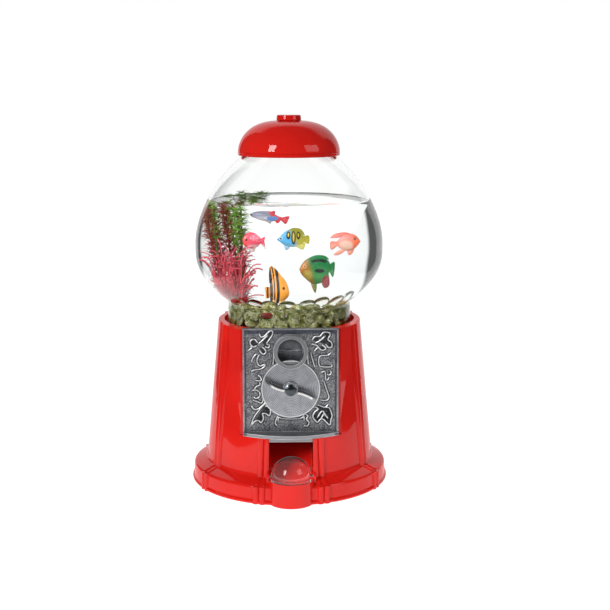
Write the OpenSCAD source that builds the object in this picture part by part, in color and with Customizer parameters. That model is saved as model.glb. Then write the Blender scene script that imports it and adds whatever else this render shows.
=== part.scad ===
// A table-top gumball machine with a red cast base, a pewter coin mechanism
// and a round glass globe that is kept as a fish bowl.
// Millimetres, +Z up, the front faces -Y, and the globe's axis is the Z axis.

/* [Base casting] */
// Radius of the body where it meets the foot flange
body_foot_r = 87.4; // [84:0.2:90]
// Width of the foot flange round the body
flange_w = 14.6; // [12:0.2:18]
// Height where the body rises out of the foot flange
flange_h = 24; // [22:0.5:25]
// Wall of the casting
wall = 3.5; // [3:0.1:4]
// Width of the rim round the globe's recess
rim_w = 6.4; // [5:0.1:8]
// Depth from the rim to the ledge that carries the globe
seat_depth = 10; // [9:0.5:12]
// Depth of the pan that leads the gum to the throat
hopper_depth = 9; // [8:0.5:11]
// Radius of one bead of a fluted pilaster
bead_r = 3.6; // [3:0.1:3.8]
// How far a bead stands out of the body
bead_out = 2.4; // [1.5:0.1:2.6]

/* [Coin plate] */
// Width of the plate beside the mechanism's opening
plate_side = 7; // [6.5:0.1:8]
// Thickness of the front plate
plate_t = 3; // [2.5:0.1:3.5]
// Gap between the globe's neck and the back of the plate
neck_gap = 1.4; // [1:0.1:3]
// Height that the plate rises above the rim
plate_rise = 2; // [1:0.5:3]
// Height of the plate below the mechanism's opening
plate_foot = 8.2; // [7:0.2:10]
// Diameter of the coin that the machine takes
coin_d = 24.26; // [19:0.01:25]
// Thickness of that coin
coin_t = 1.75; // [1.2:0.05:2]

/* [Turning parts] */
// Radius of the turning disc
disc_r = 29.5; // [26:0.5:30]
// Thickness of the turning disc
disc_t = 1.9; // [1.5:0.1:2.5]
// How far the finger wing stands out of the disc
wing_out = 12; // [9:0.5:16]
// Radius of the shaft's round journal
shaft_r = 4; // [3.5:0.1:4.5]
// Radius of the wheel that carries the coin
coin_wheel_r = 36.5; // [35:0.5:40]
// Number of ratchet teeth
teeth = 12; // [8:4:16]
// Radius of the gum wheel
gum_wheel_r = 30; // [28:0.5:32]
// Diameter of a gumball
gum_d = 16; // [14:0.5:17]

/* [Chute] */
// Radius of the half-round cup
cup_r = 23; // [21:0.5:25]
// Height of the cup's rim
cup_h = 24.2; // [23:0.2:26]
// Wall of the opening's lintel above the flap
lintel = 16.4; // [12:0.2:20]
// Thickness of the clear flap
flap_t = 1.5; // [1.2:0.1:2]

/* [Globe and lid] */
// Largest radius of the glass globe
globe_r = 97.2; // [94:0.2:104]
// Height of the globe's widest band above the rim
belly_rise = 77; // [74:0.5:80]
// Radius of the globe's neck
neck_r = 64.1; // [62:0.1:68]
// Thickness of the glass
glass_t = 3; // [2.5:0.1:4]
// Height of the globe's mouth above the rim
mouth_rise = 178; // [170:0.5:185]
// Outer radius of the globe's mouth
mouth_r = 44.5; // [42:0.5:48]
// How far the lid's band stands out beyond the mouth
lid_over = 7.8; // [6.5:0.1:9]
// Depth of the lid from its band to the crown
lid_h = 35.5; // [33:0.5:38]
// Thickness of the lid's sheet
lid_t = 1.6; // [1.2:0.1:2]
// Radius of the lid's knob
knob_r = 12.6; // [11:0.2:14]
// Height of the water surface above the rim
water_rise = 124.7; // [110:0.5:140]
// Height of the pebble bed above the rim
bed_rise = 26; // [22:1:30]

/* [Hidden] */

$fn = 64;
eps = 0.01;

// Clearances
fit_gap = 0.02;
run_gap = 0.05;
side_gap = 0.4;
seat_gap = 0.2;

red = [0.78, 0.04, 0.03];
pewter = [0.5, 0.5, 0.52];
steel = [0.72, 0.73, 0.75];

// Points of an arc about [x, z]
function arc(x, z, r, a0, a1, n = 8) =
    [for (i = [0:n]) let (a = a0 + (a1 - a0) * i / n) [x + r * cos(a), z + r * sin(a)]];

// Point at radius r and angle a
function polar(r, a) = [r * cos(a), r * sin(a)];

// A profile moved inwards by t, square to its own direction
function inset(p, t) =
    [for (i = [0:len(p) - 1])
        let (a = p[max(i - 1, 0)], b = p[min(i + 1, len(p) - 1)], d = b - a)
        p[i] + t * [-d[1], d[0]] / norm(d)];

// ---- The flap and the cup, which set the height of all that is above them ----
cup_wall = 3;
cup_y = body_foot_r + 2.1;
chute_w = cup_r - 1;
flap_r = cup_r - cup_wall;
flap_z = cup_h + 2.4;
plate_low = flap_z + flap_r + lintel;
housing_w = coin_wheel_r + 3.5;
opening_w = housing_w + 1;
shaft_z = plate_low + plate_foot + housing_w;

// ---- The mechanism, from the plate backwards ----
plate_back = neck_r + neck_gap;
plate_y = plate_back + plate_t;
coin_wheel_t = coin_t + 1.25;
coin_wheel_back = plate_back - side_gap - coin_wheel_t;
housing_wall_y = coin_wheel_back - side_gap;
housing_back = housing_wall_y - 3;
ratchet_t = 3.2;
ratchet_y = housing_back - 0.5;
gum_wheel_t = gum_d + 6;
spring_room = 2.3;
gum_wheel_y = ratchet_y - ratchet_t - spring_room;
drum_back = gum_wheel_y - gum_wheel_t - 0.6;
drum_wall = 3;
drum_end = drum_back - drum_wall;
drum_r = gum_wheel_r + 0.6;
throat_y = gum_wheel_t / 2 - gum_wheel_y;
throat_w = gum_d / 2 + 3;
throat_l = gum_wheel_t / 2 - 1;
throat_wall = 2;
throat_z = shaft_z + drum_r + drum_wall + 3;

square_w = 1.4 * shaft_r;

// ---- The base, up from the mechanism to the rim ----
pan_z = shaft_z + max(housing_w, drum_r + drum_wall + 6.4) + 2 * side_gap;
base_h = pan_z + hopper_depth + seat_depth;
recess_r = neck_r + 3.9;
ledge_r = neck_r - 1.1;
ledge_z = base_h - seat_depth;
ledge_t = 3;
hopper_t = 2;
gasket_t = 2;
globe_z = ledge_z + hopper_t + gasket_t;
body_rim_r = recess_r + rim_w;
body_slope = (body_foot_r - body_rim_r) / (base_h - flange_h);
body_lean = atan(body_slope);
function body_r(z) = body_foot_r - body_slope * (z - flange_h);

skirt_r = body_foot_r + flange_w;
lip_r = 2;
skirt_top_r = 3.5;
foot_inner_r = skirt_r - wall;
bottom_plate_t = 1.7;
bottom_plate_z = 1.5;
bottom_z = bottom_plate_z + bottom_plate_t;

plate_w = 2 * (opening_w + plate_side);
plate_top = base_h + plate_rise;
panel_t = wall;
front_over = 2.5;
front_w = plate_w / 2 + front_over;
front_flare = 12;
front_depth = 20;
apron_t = 3.4;
opening_top = ledge_z - ledge_t - 1.5;

// Pilasters stand at these angles from the front, and the first two flank the chute
pilaster_angles = [-asin((chute_w + 6) / body_foot_r), asin((chute_w + 6) / body_foot_r),
                   -60, 60, -120, 120, 180];

cup_floor_z = bottom_z + 3;
cheek_t = 3;
cheek_y = body_foot_r - wall - 1;
cheek_l = 22;
cheek_h = 44;
cup_block_y = body_foot_r - 21.4;
chute_top = plate_low;

// ---- Base casting ----
module bead_pair_profile()
{
    for (side = [-1, 1])
        translate([side * (bead_r - 0.3), 0])
            circle(r = bead_r);
}

module pilaster()
{
    // the flutes up the body
    translate([0, bead_r - bead_out - body_r(flange_h - 3), flange_h - 3])
        rotate([-body_lean, 0, 0])
            linear_extrude(height = base_h - flange_h + 6)
                bead_pair_profile();
    // across the foot flange
    flange_fall = 21;
    translate([0, -body_foot_r + 3, flange_h - bead_r + bead_out - 0.6])
        rotate([90 + flange_fall, 0, 0])
            linear_extrude(height = skirt_r - body_foot_r + 1)
                bead_pair_profile();
    // and down the skirt
    translate([0, bead_r - bead_out - skirt_r + 0.6, 0])
        linear_extrude(height = flange_h - 6)
            bead_pair_profile();
}

module front_outline(step)
{
    w = front_w - step;
    y = plate_back - step;
    polygon([[-w, -y], [w, -y], [w + front_flare, front_depth - y],
             [-w - front_flare, front_depth - y]]);
}

module casting_outside()
{
    skirt_z = flange_h - 8.1;
    rotate_extrude()
        polygon(concat(
            [[0, 0]],
            arc(skirt_r - 0.4, lip_r, lip_r, -90, 70),
            [[skirt_r, 2.4 * lip_r]],
            arc(skirt_r - 0.6 - skirt_top_r, skirt_z, skirt_top_r, 0, 70),
            [[body_foot_r + 1.4, flange_h - 0.6], [body_foot_r + 0.4, flange_h + 0.5],
             [body_r(flange_h + 2.4), flange_h + 2.4]],
            arc(body_rim_r - 1.5, base_h - 1.4, 1.4, 5, 90, 5),
            [[0, base_h]]));
    translate([0, 0, plate_low - 0.2])
        linear_extrude(height = base_h - plate_low + 0.2)
            front_outline(0);
    for (a = pilaster_angles)
        rotate([0, 0, a])
            pilaster();
    // the half-round cup at the front
    translate([0, -cup_y, 0])
        cylinder(r = cup_r, h = cup_h);
    for (side = [-1, 1])
        translate([side * (flap_lug_x + flap_lug_t / 2), -cup_y, 0])
            flap_lug();
}

// A round-topped lug that holds one of the flap's pins
module flap_lug()
{
    sunk = 7;
    translate([0, 0, flap_z])
        rotate([0, 90, 0])
            cylinder(r = flap_lug_r, h = flap_lug_t, center = true);
    translate([-flap_lug_t / 2, -flap_lug_r, flap_z - sunk])
        cube([flap_lug_t, 2 * flap_lug_r, sunk]);
}

module casting_inside()
{
    under_ledge = ledge_z - ledge_t;
    rotate_extrude()
        polygon([[0, -1], [foot_inner_r, -1], [foot_inner_r, flange_h - 10],
                 [foot_inner_r - 2.5, flange_h - 7.5], [body_foot_r - 0.5, flange_h - 4],
                 [body_r(flange_h) - wall, flange_h],
                 [body_r(under_ledge - 6) - wall, under_ledge - 6],
                 [ledge_r, under_ledge], [ledge_r, base_h + 1], [0, base_h + 1]]);
    translate([0, 0, ledge_z])
        cylinder(r = recess_r, h = base_h);
    // everything above the rim
    translate([0, 0, base_h])
        cylinder(r = 2 * body_foot_r, h = 10);
    // the hollow behind the front panel
    translate([0, 0, plate_low + wall])
        linear_extrude(height = opening_top - plate_low - wall)
            front_outline(panel_t);
}

module cup_inside()
{
    translate([0, -cup_y, cup_floor_z])
        cylinder(r = cup_r - cup_wall, h = cup_h);
    // the way from the chute into the cup
    translate([-(cup_r - cup_wall), -cup_y, cup_floor_z])
        cube([2 * (cup_r - cup_wall), cup_y - cup_block_y + 1, chute_top - cup_floor_z]);
    // the opening in the body's wall, and the room for the ramp between its cheeks
    translate([-chute_w, -cup_y, cup_h])
        cube([2 * chute_w, cup_y - cup_block_y, chute_top - cup_h + 1]);
    translate([-chute_w, -cheek_y, cup_floor_z])
        cube([2 * chute_w, cheek_y - cup_block_y + 3, cup_h - cup_floor_z + 1]);
}

// The round block under the cup's floor, which the foot's hollow leaves standing
module cup_block()
{
    intersection()
    {
        translate([0, -cup_y, bottom_z])
            cylinder(r = cup_r, h = cup_h - bottom_z);
        translate([-cup_r, -cup_y - cup_r, 0])
            cube([2 * cup_r, cup_y + cup_r - cup_block_y, cup_h]);
    }
}

bottom_screw_r = foot_inner_r - 9;
bottom_screw_angles = [35, 145, 215, 325];
boss_r = 5;
pilot_r = 1.6;

module bottom_bosses()
{
    for (a = bottom_screw_angles)
        rotate([0, 0, a])
            translate([bottom_screw_r, 0, bottom_z])
                cylinder(r = boss_r, h = flange_h - 6 - bottom_z);
}

module base_casting()
{
    color(red)
        difference()
        {
            union()
            {
                difference()
                {
                    casting_outside();
                    casting_inside();
                    // flat seat for the coin plate, cut through the round body
                    translate([-front_w - 1, -plate_back - 30, plate_low])
                        cube([2 * front_w + 2, 30, base_h]);
                }
                cup_block();
                bottom_bosses();
                // two cheeks inside the opening, which carry the chute
                for (side = [-1, 1])
                    translate([side * (chute_w + cheek_t / 2) - cheek_t / 2, -cheek_y, bottom_z])
                        cube([cheek_t, cheek_l, cheek_h - bottom_z]);
            }
            cup_inside();
            // the window that the mechanism passes through
            translate([-opening_w, -plate_back - 1, shaft_z - opening_w])
                cube([2 * opening_w, panel_t + 12, opening_top - shaft_z + opening_w]);
            translate([-slot_block_w - 1, -plate_back - 1, shaft_z])
                cube([2 * slot_block_w + 2, 9, base_h]);
            translate([0, 0, -1])
                cylinder(r = foot_inner_r, h = bottom_z + 1);
            for (a = bottom_screw_angles)
                rotate([0, 0, a])
                    translate([bottom_screw_r, 0, bottom_z - 1])
                        cylinder(r = pilot_r, h = 11);
            for (a = hopper_screw_angles)
                rotate([0, 0, a])
                    translate([hopper_screw_r, 0, ledge_z - ledge_t - 1])
                        cylinder(r = pilot_r, h = ledge_t + 2);
            for (side = [-1, 1])
                translate([side * flap_lug_x, -cup_y, flap_z])
                    rotate([0, 90, 0])
                        cylinder(r = flap_pin_r, h = 2 * flap_lug_t, center = true);
            for (p = plate_screw_places)
                translate([p[0], -plate_back + panel_t + 1, p[1]])
                    rotate([90, 0, 0])
                        cylinder(r = pilot_r + fit_gap, h = panel_t + 2);
            for (side = [-1, 1])
                translate([side * chute_w, rivet_at[0], rivet_at[1]])
                    rotate([0, 90, 0])
                        cylinder(r = rivet_r, h = 2 * cheek_t, center = true);
        }
}

// ---- Hopper plate, gasket and screws ----
hopper_screw_r = ledge_r + 2.4;
hopper_screw_angles = [-30, 90, 210];
hopper_wall = 2;
hopper_front = housing_back - 1.2;

// A pan whose floor falls to the throat at the front
module hopper_pan(r, lift)
{
    slope = asin((hopper_depth - hopper_wall) / (2 * ledge_r));
    low = pan_z + lift;
    intersection()
    {
        translate([0, 0, low])
            cylinder(r = r, h = hopper_depth + 2 * hopper_t - lift);
        translate([-r, -hopper_front + lift, low])
            rotate([slope, 0, 0])
                cube([2 * r, 3 * r, 3 * hopper_depth]);
    }
}

module hopper_plate()
{
    color(red)
        difference()
        {
            union()
            {
                translate([0, 0, ledge_z])
                    cylinder(r = recess_r - 0.4, h = hopper_t);
                intersection()
                {
                    hopper_pan(ledge_r - 0.4, 0);
                    cylinder(r = ledge_r, h = ledge_z + 1);
                }
                translate([-throat_w - throat_wall, throat_y - throat_l - throat_wall, throat_z])
                    cube([2 * (throat_w + throat_wall), 2 * (throat_l + throat_wall),
                          pan_z + 2 - throat_z]);
            }
            hopper_pan(ledge_r - 0.4 - hopper_wall, hopper_wall);
            translate([-throat_w, throat_y - throat_l, throat_z - 1])
                cube([2 * throat_w, 2 * throat_l, ledge_z - throat_z]);
            // clear of the slot block and of the front panel
            translate([-slot_block_w - 1, -recess_r - 1, ledge_z - 1])
                cube([2 * slot_block_w + 2, recess_r + 1 - hopper_front, hopper_t + 2]);
            translate([-front_w, -recess_r - 1, ledge_z - 1])
                cube([2 * front_w, recess_r + 1 - plate_back + seat_gap, hopper_t + 2]);
            for (a = hopper_screw_angles)
                rotate([0, 0, a])
                    translate([hopper_screw_r, 0, ledge_z - 1])
                        cylinder(r = pilot_r + 0.3, h = hopper_t + 2);
        }
}

module screw(head_r, head_h, shank_r, shank_l)
{
    // head below z = 0, shank above it, with a driver slot across the head
    difference()
    {
        union()
        {
            translate([0, 0, -head_h])
                cylinder(r = head_r, h = head_h);
            cylinder(r = shank_r, h = shank_l);
        }
        translate([-head_r, -0.4, -head_h - eps])
            cube([2 * head_r, 0.8, 0.5]);
    }
}

module hopper_screws()
{
    color(steel)
        for (a = hopper_screw_angles)
            rotate([0, 0, a])
                translate([hopper_screw_r, 0, ledge_z + hopper_t])
                    rotate([180, 0, 0])
                        screw(2.2, 1.2, pilot_r, hopper_t + ledge_t);
}

module globe_gasket()
{
    color([0.85, 0.85, 0.83])
        translate([0, 0, ledge_z + hopper_t])
            difference()
            {
                cylinder(r = neck_r - 1.5, h = gasket_t);
                translate([0, 0, -1])
                    cylinder(r = ledge_r - 4, h = gasket_t + 2);
            }
}

// ---- Coin plate ----
hole_r = coin_d / 2 + 1.4;
hole_z = shaft_z + coin_wheel_r + 1.7;
ring_r = hole_r + 3.7;
disc_back = plate_y + side_gap;
disc_front = disc_back + disc_t;
ring_front = disc_front + 2.6;
hood_drop = 4.2;

module plate_flat(t)
{
    translate([-plate_w / 2, -plate_y, plate_low])
        cube([plate_w, t, plate_top - plate_low]);
}

module apron()
{
    intersection()
    {
        translate([0, 0, plate_low])
            cylinder(r = body_r(plate_low) + 1.6, h = apron_t);
        translate([-plate_w / 2, -plate_y - 40, plate_low])
            cube([plate_w, 40 + eps, apron_t]);
    }
}

module along_shaft(y)
{
    translate([0, -y, shaft_z])
        rotate([-90, 0, 0])
            children();
}

module coin_plate()
{
    color(pewter)
        difference()
        {
            union()
            {
                plate_flat(plate_t);
                apron();
                // hood under the apron
                translate([-chute_w + 0.3, -body_r(plate_low) + wall + 0.4, plate_low - hood_drop])
                    cube([2 * chute_w - 0.6, 1.5, hood_drop + 1]);
                // raised ring round the coin window
                translate([0, -plate_y, hole_z])
                    rotate([90, 0, 0])
                        cylinder(r = ring_r, h = ring_front - plate_y);
                plate_border();
            }
            translate([0, -plate_back + 1, hole_z])
                rotate([90, 0, 0])
                    cylinder(r = hole_r, h = ring_front);
            // room for the disc behind the ring
            along_shaft(disc_front + seat_gap + 0.3)
                cylinder(r = disc_r + 0.8, h = disc_front + seat_gap + 0.3 - plate_y);
            along_shaft(plate_y + 1)
                cylinder(r = shaft_r + run_gap, h = plate_t + 2);
            for (p = concat(mechanism_screw_places, plate_screw_places))
                translate([p[0], -plate_back + 1, p[1]])
                    rotate([90, 0, 0])
                        cylinder(r = pilot_r, h = plate_t);
        }
}

// Screws from inside, through the casting's panel into the plate
plate_screw_places = [for (sx = [-1, 1], sz = [-1, 1])
                      [sx * (opening_w + (plate_side + front_over - panel_t) / 2),
                       shaft_z + sz * 26]];

module plate_screws()
{
    color(steel)
        for (p = plate_screw_places)
            translate([p[0], -plate_back + panel_t, p[1]])
                rotate([90, 0, 0])
                    screw(2.6, 1.6, pilot_r, panel_t + 1.5);
}

relief = 0.7;

module plate_border()
{
    // a narrow raised edge down both sides and along the top
    edge = 1.2;
    difference()
    {
        translate([-plate_w / 2, -plate_y - relief, plate_low + apron_t])
            cube([plate_w, relief + 1, plate_top - plate_low - apron_t]);
        translate([-plate_w / 2 + edge, -plate_y - relief - 1, plate_low])
            cube([plate_w - 2 * edge, relief + 3, plate_top - plate_low - edge]);
    }
}

// ---- Mechanism housing, drum and screws ----
slot_block_w = coin_d / 2 + 3.87;
tooth_tip_r = gum_wheel_r - 13;
tooth_root_r = tooth_tip_r - 2.5;
tooth_a = 60;
pawl_pivot = polar(tooth_tip_r + 8.2, tooth_a + 58);
pawl_pin_r = 1.5;
pin_sunk = 2;
slot_top = ledge_z + hopper_t - 0.4;
scoop_r = 16;
mechanism_screw_places = [for (sx = [-1, 1], sz = [-1, 1])
                          [sx * (housing_w - 4.5), shaft_z + sz * (housing_w - 4.5)]];

module mechanism_housing()
{
    color(pewter)
        difference()
        {
            union()
            {
                translate([-housing_w, -plate_back, shaft_z - housing_w])
                    cube([2 * housing_w, plate_back - housing_back, 2 * housing_w]);
                translate([-slot_block_w, -plate_back, shaft_z])
                    cube([2 * slot_block_w, plate_back - housing_back, slot_top - shaft_z]);
            }
            // pocket for the coin wheel
            along_shaft(plate_back + 1)
                cylinder(r = coin_wheel_r + 0.5, h = plate_back - housing_wall_y + 1);
            // the slot that the coin drops through
            translate([-coin_d / 2 - 0.4, -plate_back - 1, shaft_z])
                cube([coin_d + 0.8, plate_back - housing_wall_y + 1, hole_z - shaft_z]);
            // the scoop for the finger above the slot
            intersection()
            {
                translate([0, -plate_back - scoop_r + 6, hole_z])
                    sphere(r = scoop_r);
                translate([-scoop_r, -plate_back - 10, hole_z - 0.5])
                    cube([2 * scoop_r, 30, scoop_r]);
            }
            along_shaft(plate_back)
                cylinder(r = shaft_r + run_gap, h = plate_back);
            // the hole that the pawl's pin is pressed into
            translate([pawl_pivot[0], -housing_back - pin_sunk, shaft_z + pawl_pivot[1]])
                rotate([-90, 0, 0])
                    cylinder(r = pawl_pin_r + fit_gap, h = pin_sunk + 1);
            for (p = mechanism_screw_places)
                translate([p[0], -housing_back + 1, p[1]])
                    rotate([90, 0, 0])
                        cylinder(r = pilot_r + 0.3, h = plate_back - housing_back + 2);
        }
}

journal_r = square_w / 2 - 0.2;
ear_t = 3;

module wheel_drum()
{
    color([0.6, 0.61, 0.63])
        difference()
        {
            union()
            {
                along_shaft(housing_back)
                    cylinder(r = drum_r + drum_wall, h = housing_back - drum_end);
                // a flange with a screw at each corner
                translate([-housing_w, -housing_back, shaft_z - housing_w])
                    cube([2 * housing_w, ear_t, 2 * housing_w]);
                translate([-throat_w - throat_wall, -housing_back + ear_t - 1, shaft_z])
                    cube([2 * (throat_w + throat_wall),
                          housing_back - ear_t + 1 + throat_y + throat_l + throat_wall,
                          throat_z - shaft_z]);
            }
            along_shaft(housing_back + 1)
                cylinder(r = drum_r, h = housing_back - drum_back + 1);
            translate([-throat_w, throat_y - throat_l, shaft_z])
                cube([2 * throat_w, 2 * throat_l, 60]);
            translate([-throat_w, throat_y - throat_l, shaft_z - drum_r - 10])
                cube([2 * throat_w, 2 * throat_l, drum_r + 10]);
            along_shaft(drum_back + 1)
                cylinder(r = journal_r + run_gap, h = drum_wall + 2);
            for (p = mechanism_screw_places)
                translate([p[0], -housing_back + ear_t + 1, p[1]])
                    rotate([90, 0, 0])
                        cylinder(r = pilot_r + 0.3, h = ear_t + 2);
        }
}

module mechanism_screws()
{
    shank_l = plate_back - housing_back + ear_t + 1.5;
    color(steel)
        for (p = mechanism_screw_places)
            translate([p[0], -housing_back + ear_t, p[1]])
                rotate([90, 0, 0])
                    screw(3, 1.8, pilot_r, shank_l);
}

// ---- Ratchet and pawl ----
pawl_boss_r = 4;
pawl_t = ratchet_t - 0.4;

module ratchet_wheel()
{
    step = 360 / teeth;
    color(steel)
        translate([0, -ratchet_y, shaft_z])
            rotate([90, 0, 0])
                translate([0, 0, -ratchet_t])
                    linear_extrude(height = ratchet_t)
                        difference()
                        {
                            polygon([for (k = [0:teeth - 1], p = [tooth_root_r, tooth_tip_r])
                                     polar(p, tooth_a + k * step + (p == tooth_root_r ? 0 : step))]);
                            square(square_w + 2 * fit_gap, center = true);
                        }
}

module pawl()
{
    color(steel)
        translate([0, -ratchet_y + 0.2, shaft_z])
            rotate([90, 0, 0])
                translate([0, 0, -pawl_t])
                    linear_extrude(height = pawl_t)
                        difference()
                        {
                            union()
                            {
                                translate(pawl_pivot)
                                    circle(r = pawl_boss_r);
                                polygon([polar(tooth_root_r + 0.5, tooth_a + 1.6),
                                         polar(tooth_tip_r + 1.6, tooth_a + 1.6),
                                         pawl_pivot + polar(pawl_boss_r - eps, 72),
                                         pawl_pivot + polar(pawl_boss_r - eps, 250),
                                         polar(tooth_tip_r + 0.6, tooth_a + 29)]);
                            }
                            translate(pawl_pivot)
                                circle(r = pawl_pin_r + run_gap);
                        }
}

module pawl_pin()
{
    color(steel)
        translate([pawl_pivot[0], -housing_back - pin_sunk, shaft_z + pawl_pivot[1]])
            rotate([-90, 0, 0])
                cylinder(r = pawl_pin_r, h = pin_sunk + housing_back - gum_wheel_y - 0.3);
}

// A torsion spring round the pin: closed turns and a leg that bears on the drum
module pawl_spring()
{
    wire_r = 0.45;
    turns = 2;
    coil_r = pawl_pin_r + wire_r + 0.3;
    start_y = ratchet_y - 0.2 - pawl_t - 0.2 - wire_r;
    leg_l = drum_r - norm(pawl_pivot) - coil_r - seat_gap;
    color(steel)
        translate([pawl_pivot[0], -start_y, shaft_z + pawl_pivot[1]])
            rotate([-90, 0, 0])
            {
                for (i = [0:turns - 1])
                    translate([0, 0, i * wire_r * 1.8])
                        rotate_extrude()
                            translate([coil_r, 0])
                                circle(r = wire_r);
                rotate([0, 0, -tooth_a - 58])
                    translate([coil_r, 0, 0])
                        rotate([0, 90, 0])
                            cylinder(r = wire_r, h = leg_l);
            }
}

// ---- Turning parts ----
hub_r = shaft_r + 3.5;
hub_out = 3.4;
shaft_front = disc_front + hub_out;

module turn_handle()
{
    color([0.55, 0.55, 0.57])
        difference()
        {
            union()
            {
                along_shaft(disc_front)
                    cylinder(r = disc_r, h = disc_t);
                along_shaft(shaft_front)
                    cylinder(r = hub_r, h = hub_out + eps);
                wing();
            }
            along_shaft(shaft_front + 1)
                cylinder(r = shaft_r + fit_gap, h = shaft_front);
        }
}

// An S-shaped blade that stands square to the disc, lower towards its tips
wing_tilt = -21.6;
wing_t = 2;
wing_l = disc_r - 1.9;
wing_step = ring_front - disc_front + side_gap;

module wing()
{
    bow = 38;
    intersection()
    {
        along_shaft(disc_front + wing_out)
            rotate([0, 0, -wing_tilt])
                linear_extrude(height = wing_out + 0.5)
                    for (end = [0, 180])
                        rotate([0, 0, end])
                            wing_arm(bow);
        // the profile that trims the blade's front edge, stepped to pass over the ring
        translate([0, -disc_front, shaft_z])
            rotate([90, 0, 0])
            {
                cylinder(r = hole_z - ring_r - shaft_z - side_gap, h = wing_out);
                translate([0, 0, wing_step])
                    cylinder(r1 = wing_l + 2, r2 = wing_l - 7, h = wing_out - wing_step);
            }
    }
}

module wing_arm(bow)
{
    intersection()
    {
        translate([wing_l / 2, sqrt(bow * bow - wing_l * wing_l / 4) + 0.5])
            difference()
            {
                circle(r = bow + wing_t / 2);
                circle(r = bow - wing_t / 2);
            }
        translate([hub_r - 1, -10])
            square([wing_l - hub_r + 1, 20]);
    }
}

module hub_cap()
{
    cap_r = hub_r - 1.5;
    dome_r = 11;
    color([0.16, 0.17, 0.18])
        intersection()
        {
            along_shaft(shaft_front + 2)
                cylinder(r = cap_r, h = 2);
            along_shaft(shaft_front + 2)
                translate([0, 0, dome_r])
                    sphere(r = dome_r);
        }
}

module handle_shaft()
{
    color(steel)
    {
        along_shaft(shaft_front)
            cylinder(r = shaft_r, h = shaft_front - plate_back);
        translate([-square_w / 2, -plate_back, shaft_z - square_w / 2])
            cube([square_w, plate_back - drum_back - 0.1, square_w]);
        along_shaft(drum_back + 0.2)
            cylinder(r = journal_r, h = drum_wall + 7);
    }
}

module coin_wheel()
{
    pocket_r = coin_d / 2 + 0.4;
    color(pewter)
        translate([0, -coin_wheel_back, shaft_z])
            rotate([90, 0, 0])
                linear_extrude(height = coin_wheel_t)
                    difference()
                    {
                        circle(r = coin_wheel_r);
                        translate([0, coin_wheel_r - pocket_r])
                            circle(r = pocket_r);
                        translate([-pocket_r, coin_wheel_r - pocket_r])
                            square([2 * pocket_r, 2 * pocket_r]);
                        square(square_w + 2 * fit_gap, center = true);
                    }
}

module gum_wheel()
{
    pocket_r = gum_d / 2 + 1;
    pockets = 4;
    hub_l = spring_room - 0.3;
    color([0.9, 0.9, 0.86])
        difference()
        {
            union()
            {
                along_shaft(gum_wheel_y)
                    linear_extrude(height = gum_wheel_t)
                        difference()
                        {
                            circle(r = gum_wheel_r);
                            for (i = [0:pockets - 1])
                                rotate([0, 0, i * 360 / pockets])
                                    translate([0, gum_wheel_r - pocket_r + 2])
                                    {
                                        circle(r = pocket_r);
                                        translate([-pocket_r, 0])
                                            square([2 * pocket_r, pocket_r]);
                                    }
                        }
                // a hub that keeps the wheel clear of the pawl's spring
                along_shaft(gum_wheel_y + hub_l)
                    cylinder(r = square_w + 1.5, h = hub_l + 1);
            }
            translate([-square_w / 2 - fit_gap, -gum_wheel_y - hub_l - 1, shaft_z - square_w / 2 - fit_gap])
                cube([square_w + 2 * fit_gap, gum_wheel_t + hub_l + 2, square_w + 2 * fit_gap]);
        }
}

washer_t = 0.8;

module shaft_washer()
{
    color(steel)
        along_shaft(drum_end - 0.3)
            difference()
            {
                cylinder(r = 5.5, h = washer_t);
                translate([0, 0, -1])
                    cylinder(r = journal_r + fit_gap, h = washer_t + 2);
            }
}

module shaft_nut()
{
    color(steel)
        along_shaft(drum_end - 0.3 - washer_t)
            difference()
            {
                cylinder(r = 4.9, h = 3.2, $fn = 6);
                translate([0, 0, -1])
                    cylinder(r = journal_r + fit_gap, h = 6);
            }
}

// ---- Chute and flap ----
flap_pin_r = 1.2;
flap_ear_r = flap_z - cup_h - seat_gap;
flap_ear_t = 1.8;
flap_ear_x = flap_r - 0.4;
flap_lug_x = flap_ear_x + flap_ear_t + side_gap;
flap_lug_r = 3;
flap_lug_t = 3;

module chute_flap()
{
    rim_t = flap_z - cup_h - seat_gap + 0.3;
    cover = 98;
    color([0.9, 0.92, 0.93, 0.4])
        translate([0, -cup_y, flap_z])
            difference()
            {
                union()
                {
                    // the visor: a slice of a hollow ball, swept from the front over the top
                    rotate([90, 0, -90])
                        visor(cover);
                    // the half-round rim that rests on the cup
                    translate([0, 0, -flap_z + cup_h + seat_gap])
                        difference()
                        {
                            cylinder(r = cup_r, h = rim_t);
                            translate([0, 0, -1])
                                cylinder(r = flap_r - flap_t, h = rim_t + 2);
                            translate([-2 * cup_r, 0, -1])
                                cube([4 * cup_r, 2 * cup_r, rim_t + 2]);
                        }
                    for (side = [-1, 1])
                        translate([side * (flap_ear_x + flap_ear_t / 2), 0, 0])
                            rotate([0, 90, 0])
                                cylinder(r = flap_ear_r, h = flap_ear_t, center = true);
                }
                for (side = [-1, 1])
                    translate([side * flap_ear_x, 0, 0])
                        rotate([0, 90, 0])
                            cylinder(r = flap_pin_r + run_gap, h = 6, center = true);
                // the rim stops short of the lugs
                for (side = [-1, 1])
                    translate([side * (flap_lug_x + cup_r) - side * seat_gap - cup_r,
                               -flap_lug_r - side_gap, -flap_z])
                        cube([2 * cup_r, 2 * cup_r, 2 * flap_z]);
            }
}

module visor(cover)
{
    rotate_extrude(angle = cover)
        difference()
        {
            intersection()
            {
                circle(r = flap_r);
                translate([0, -flap_r])
                    square([flap_r, 2 * flap_r]);
            }
            circle(r = flap_r - flap_t);
        }
}

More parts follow.
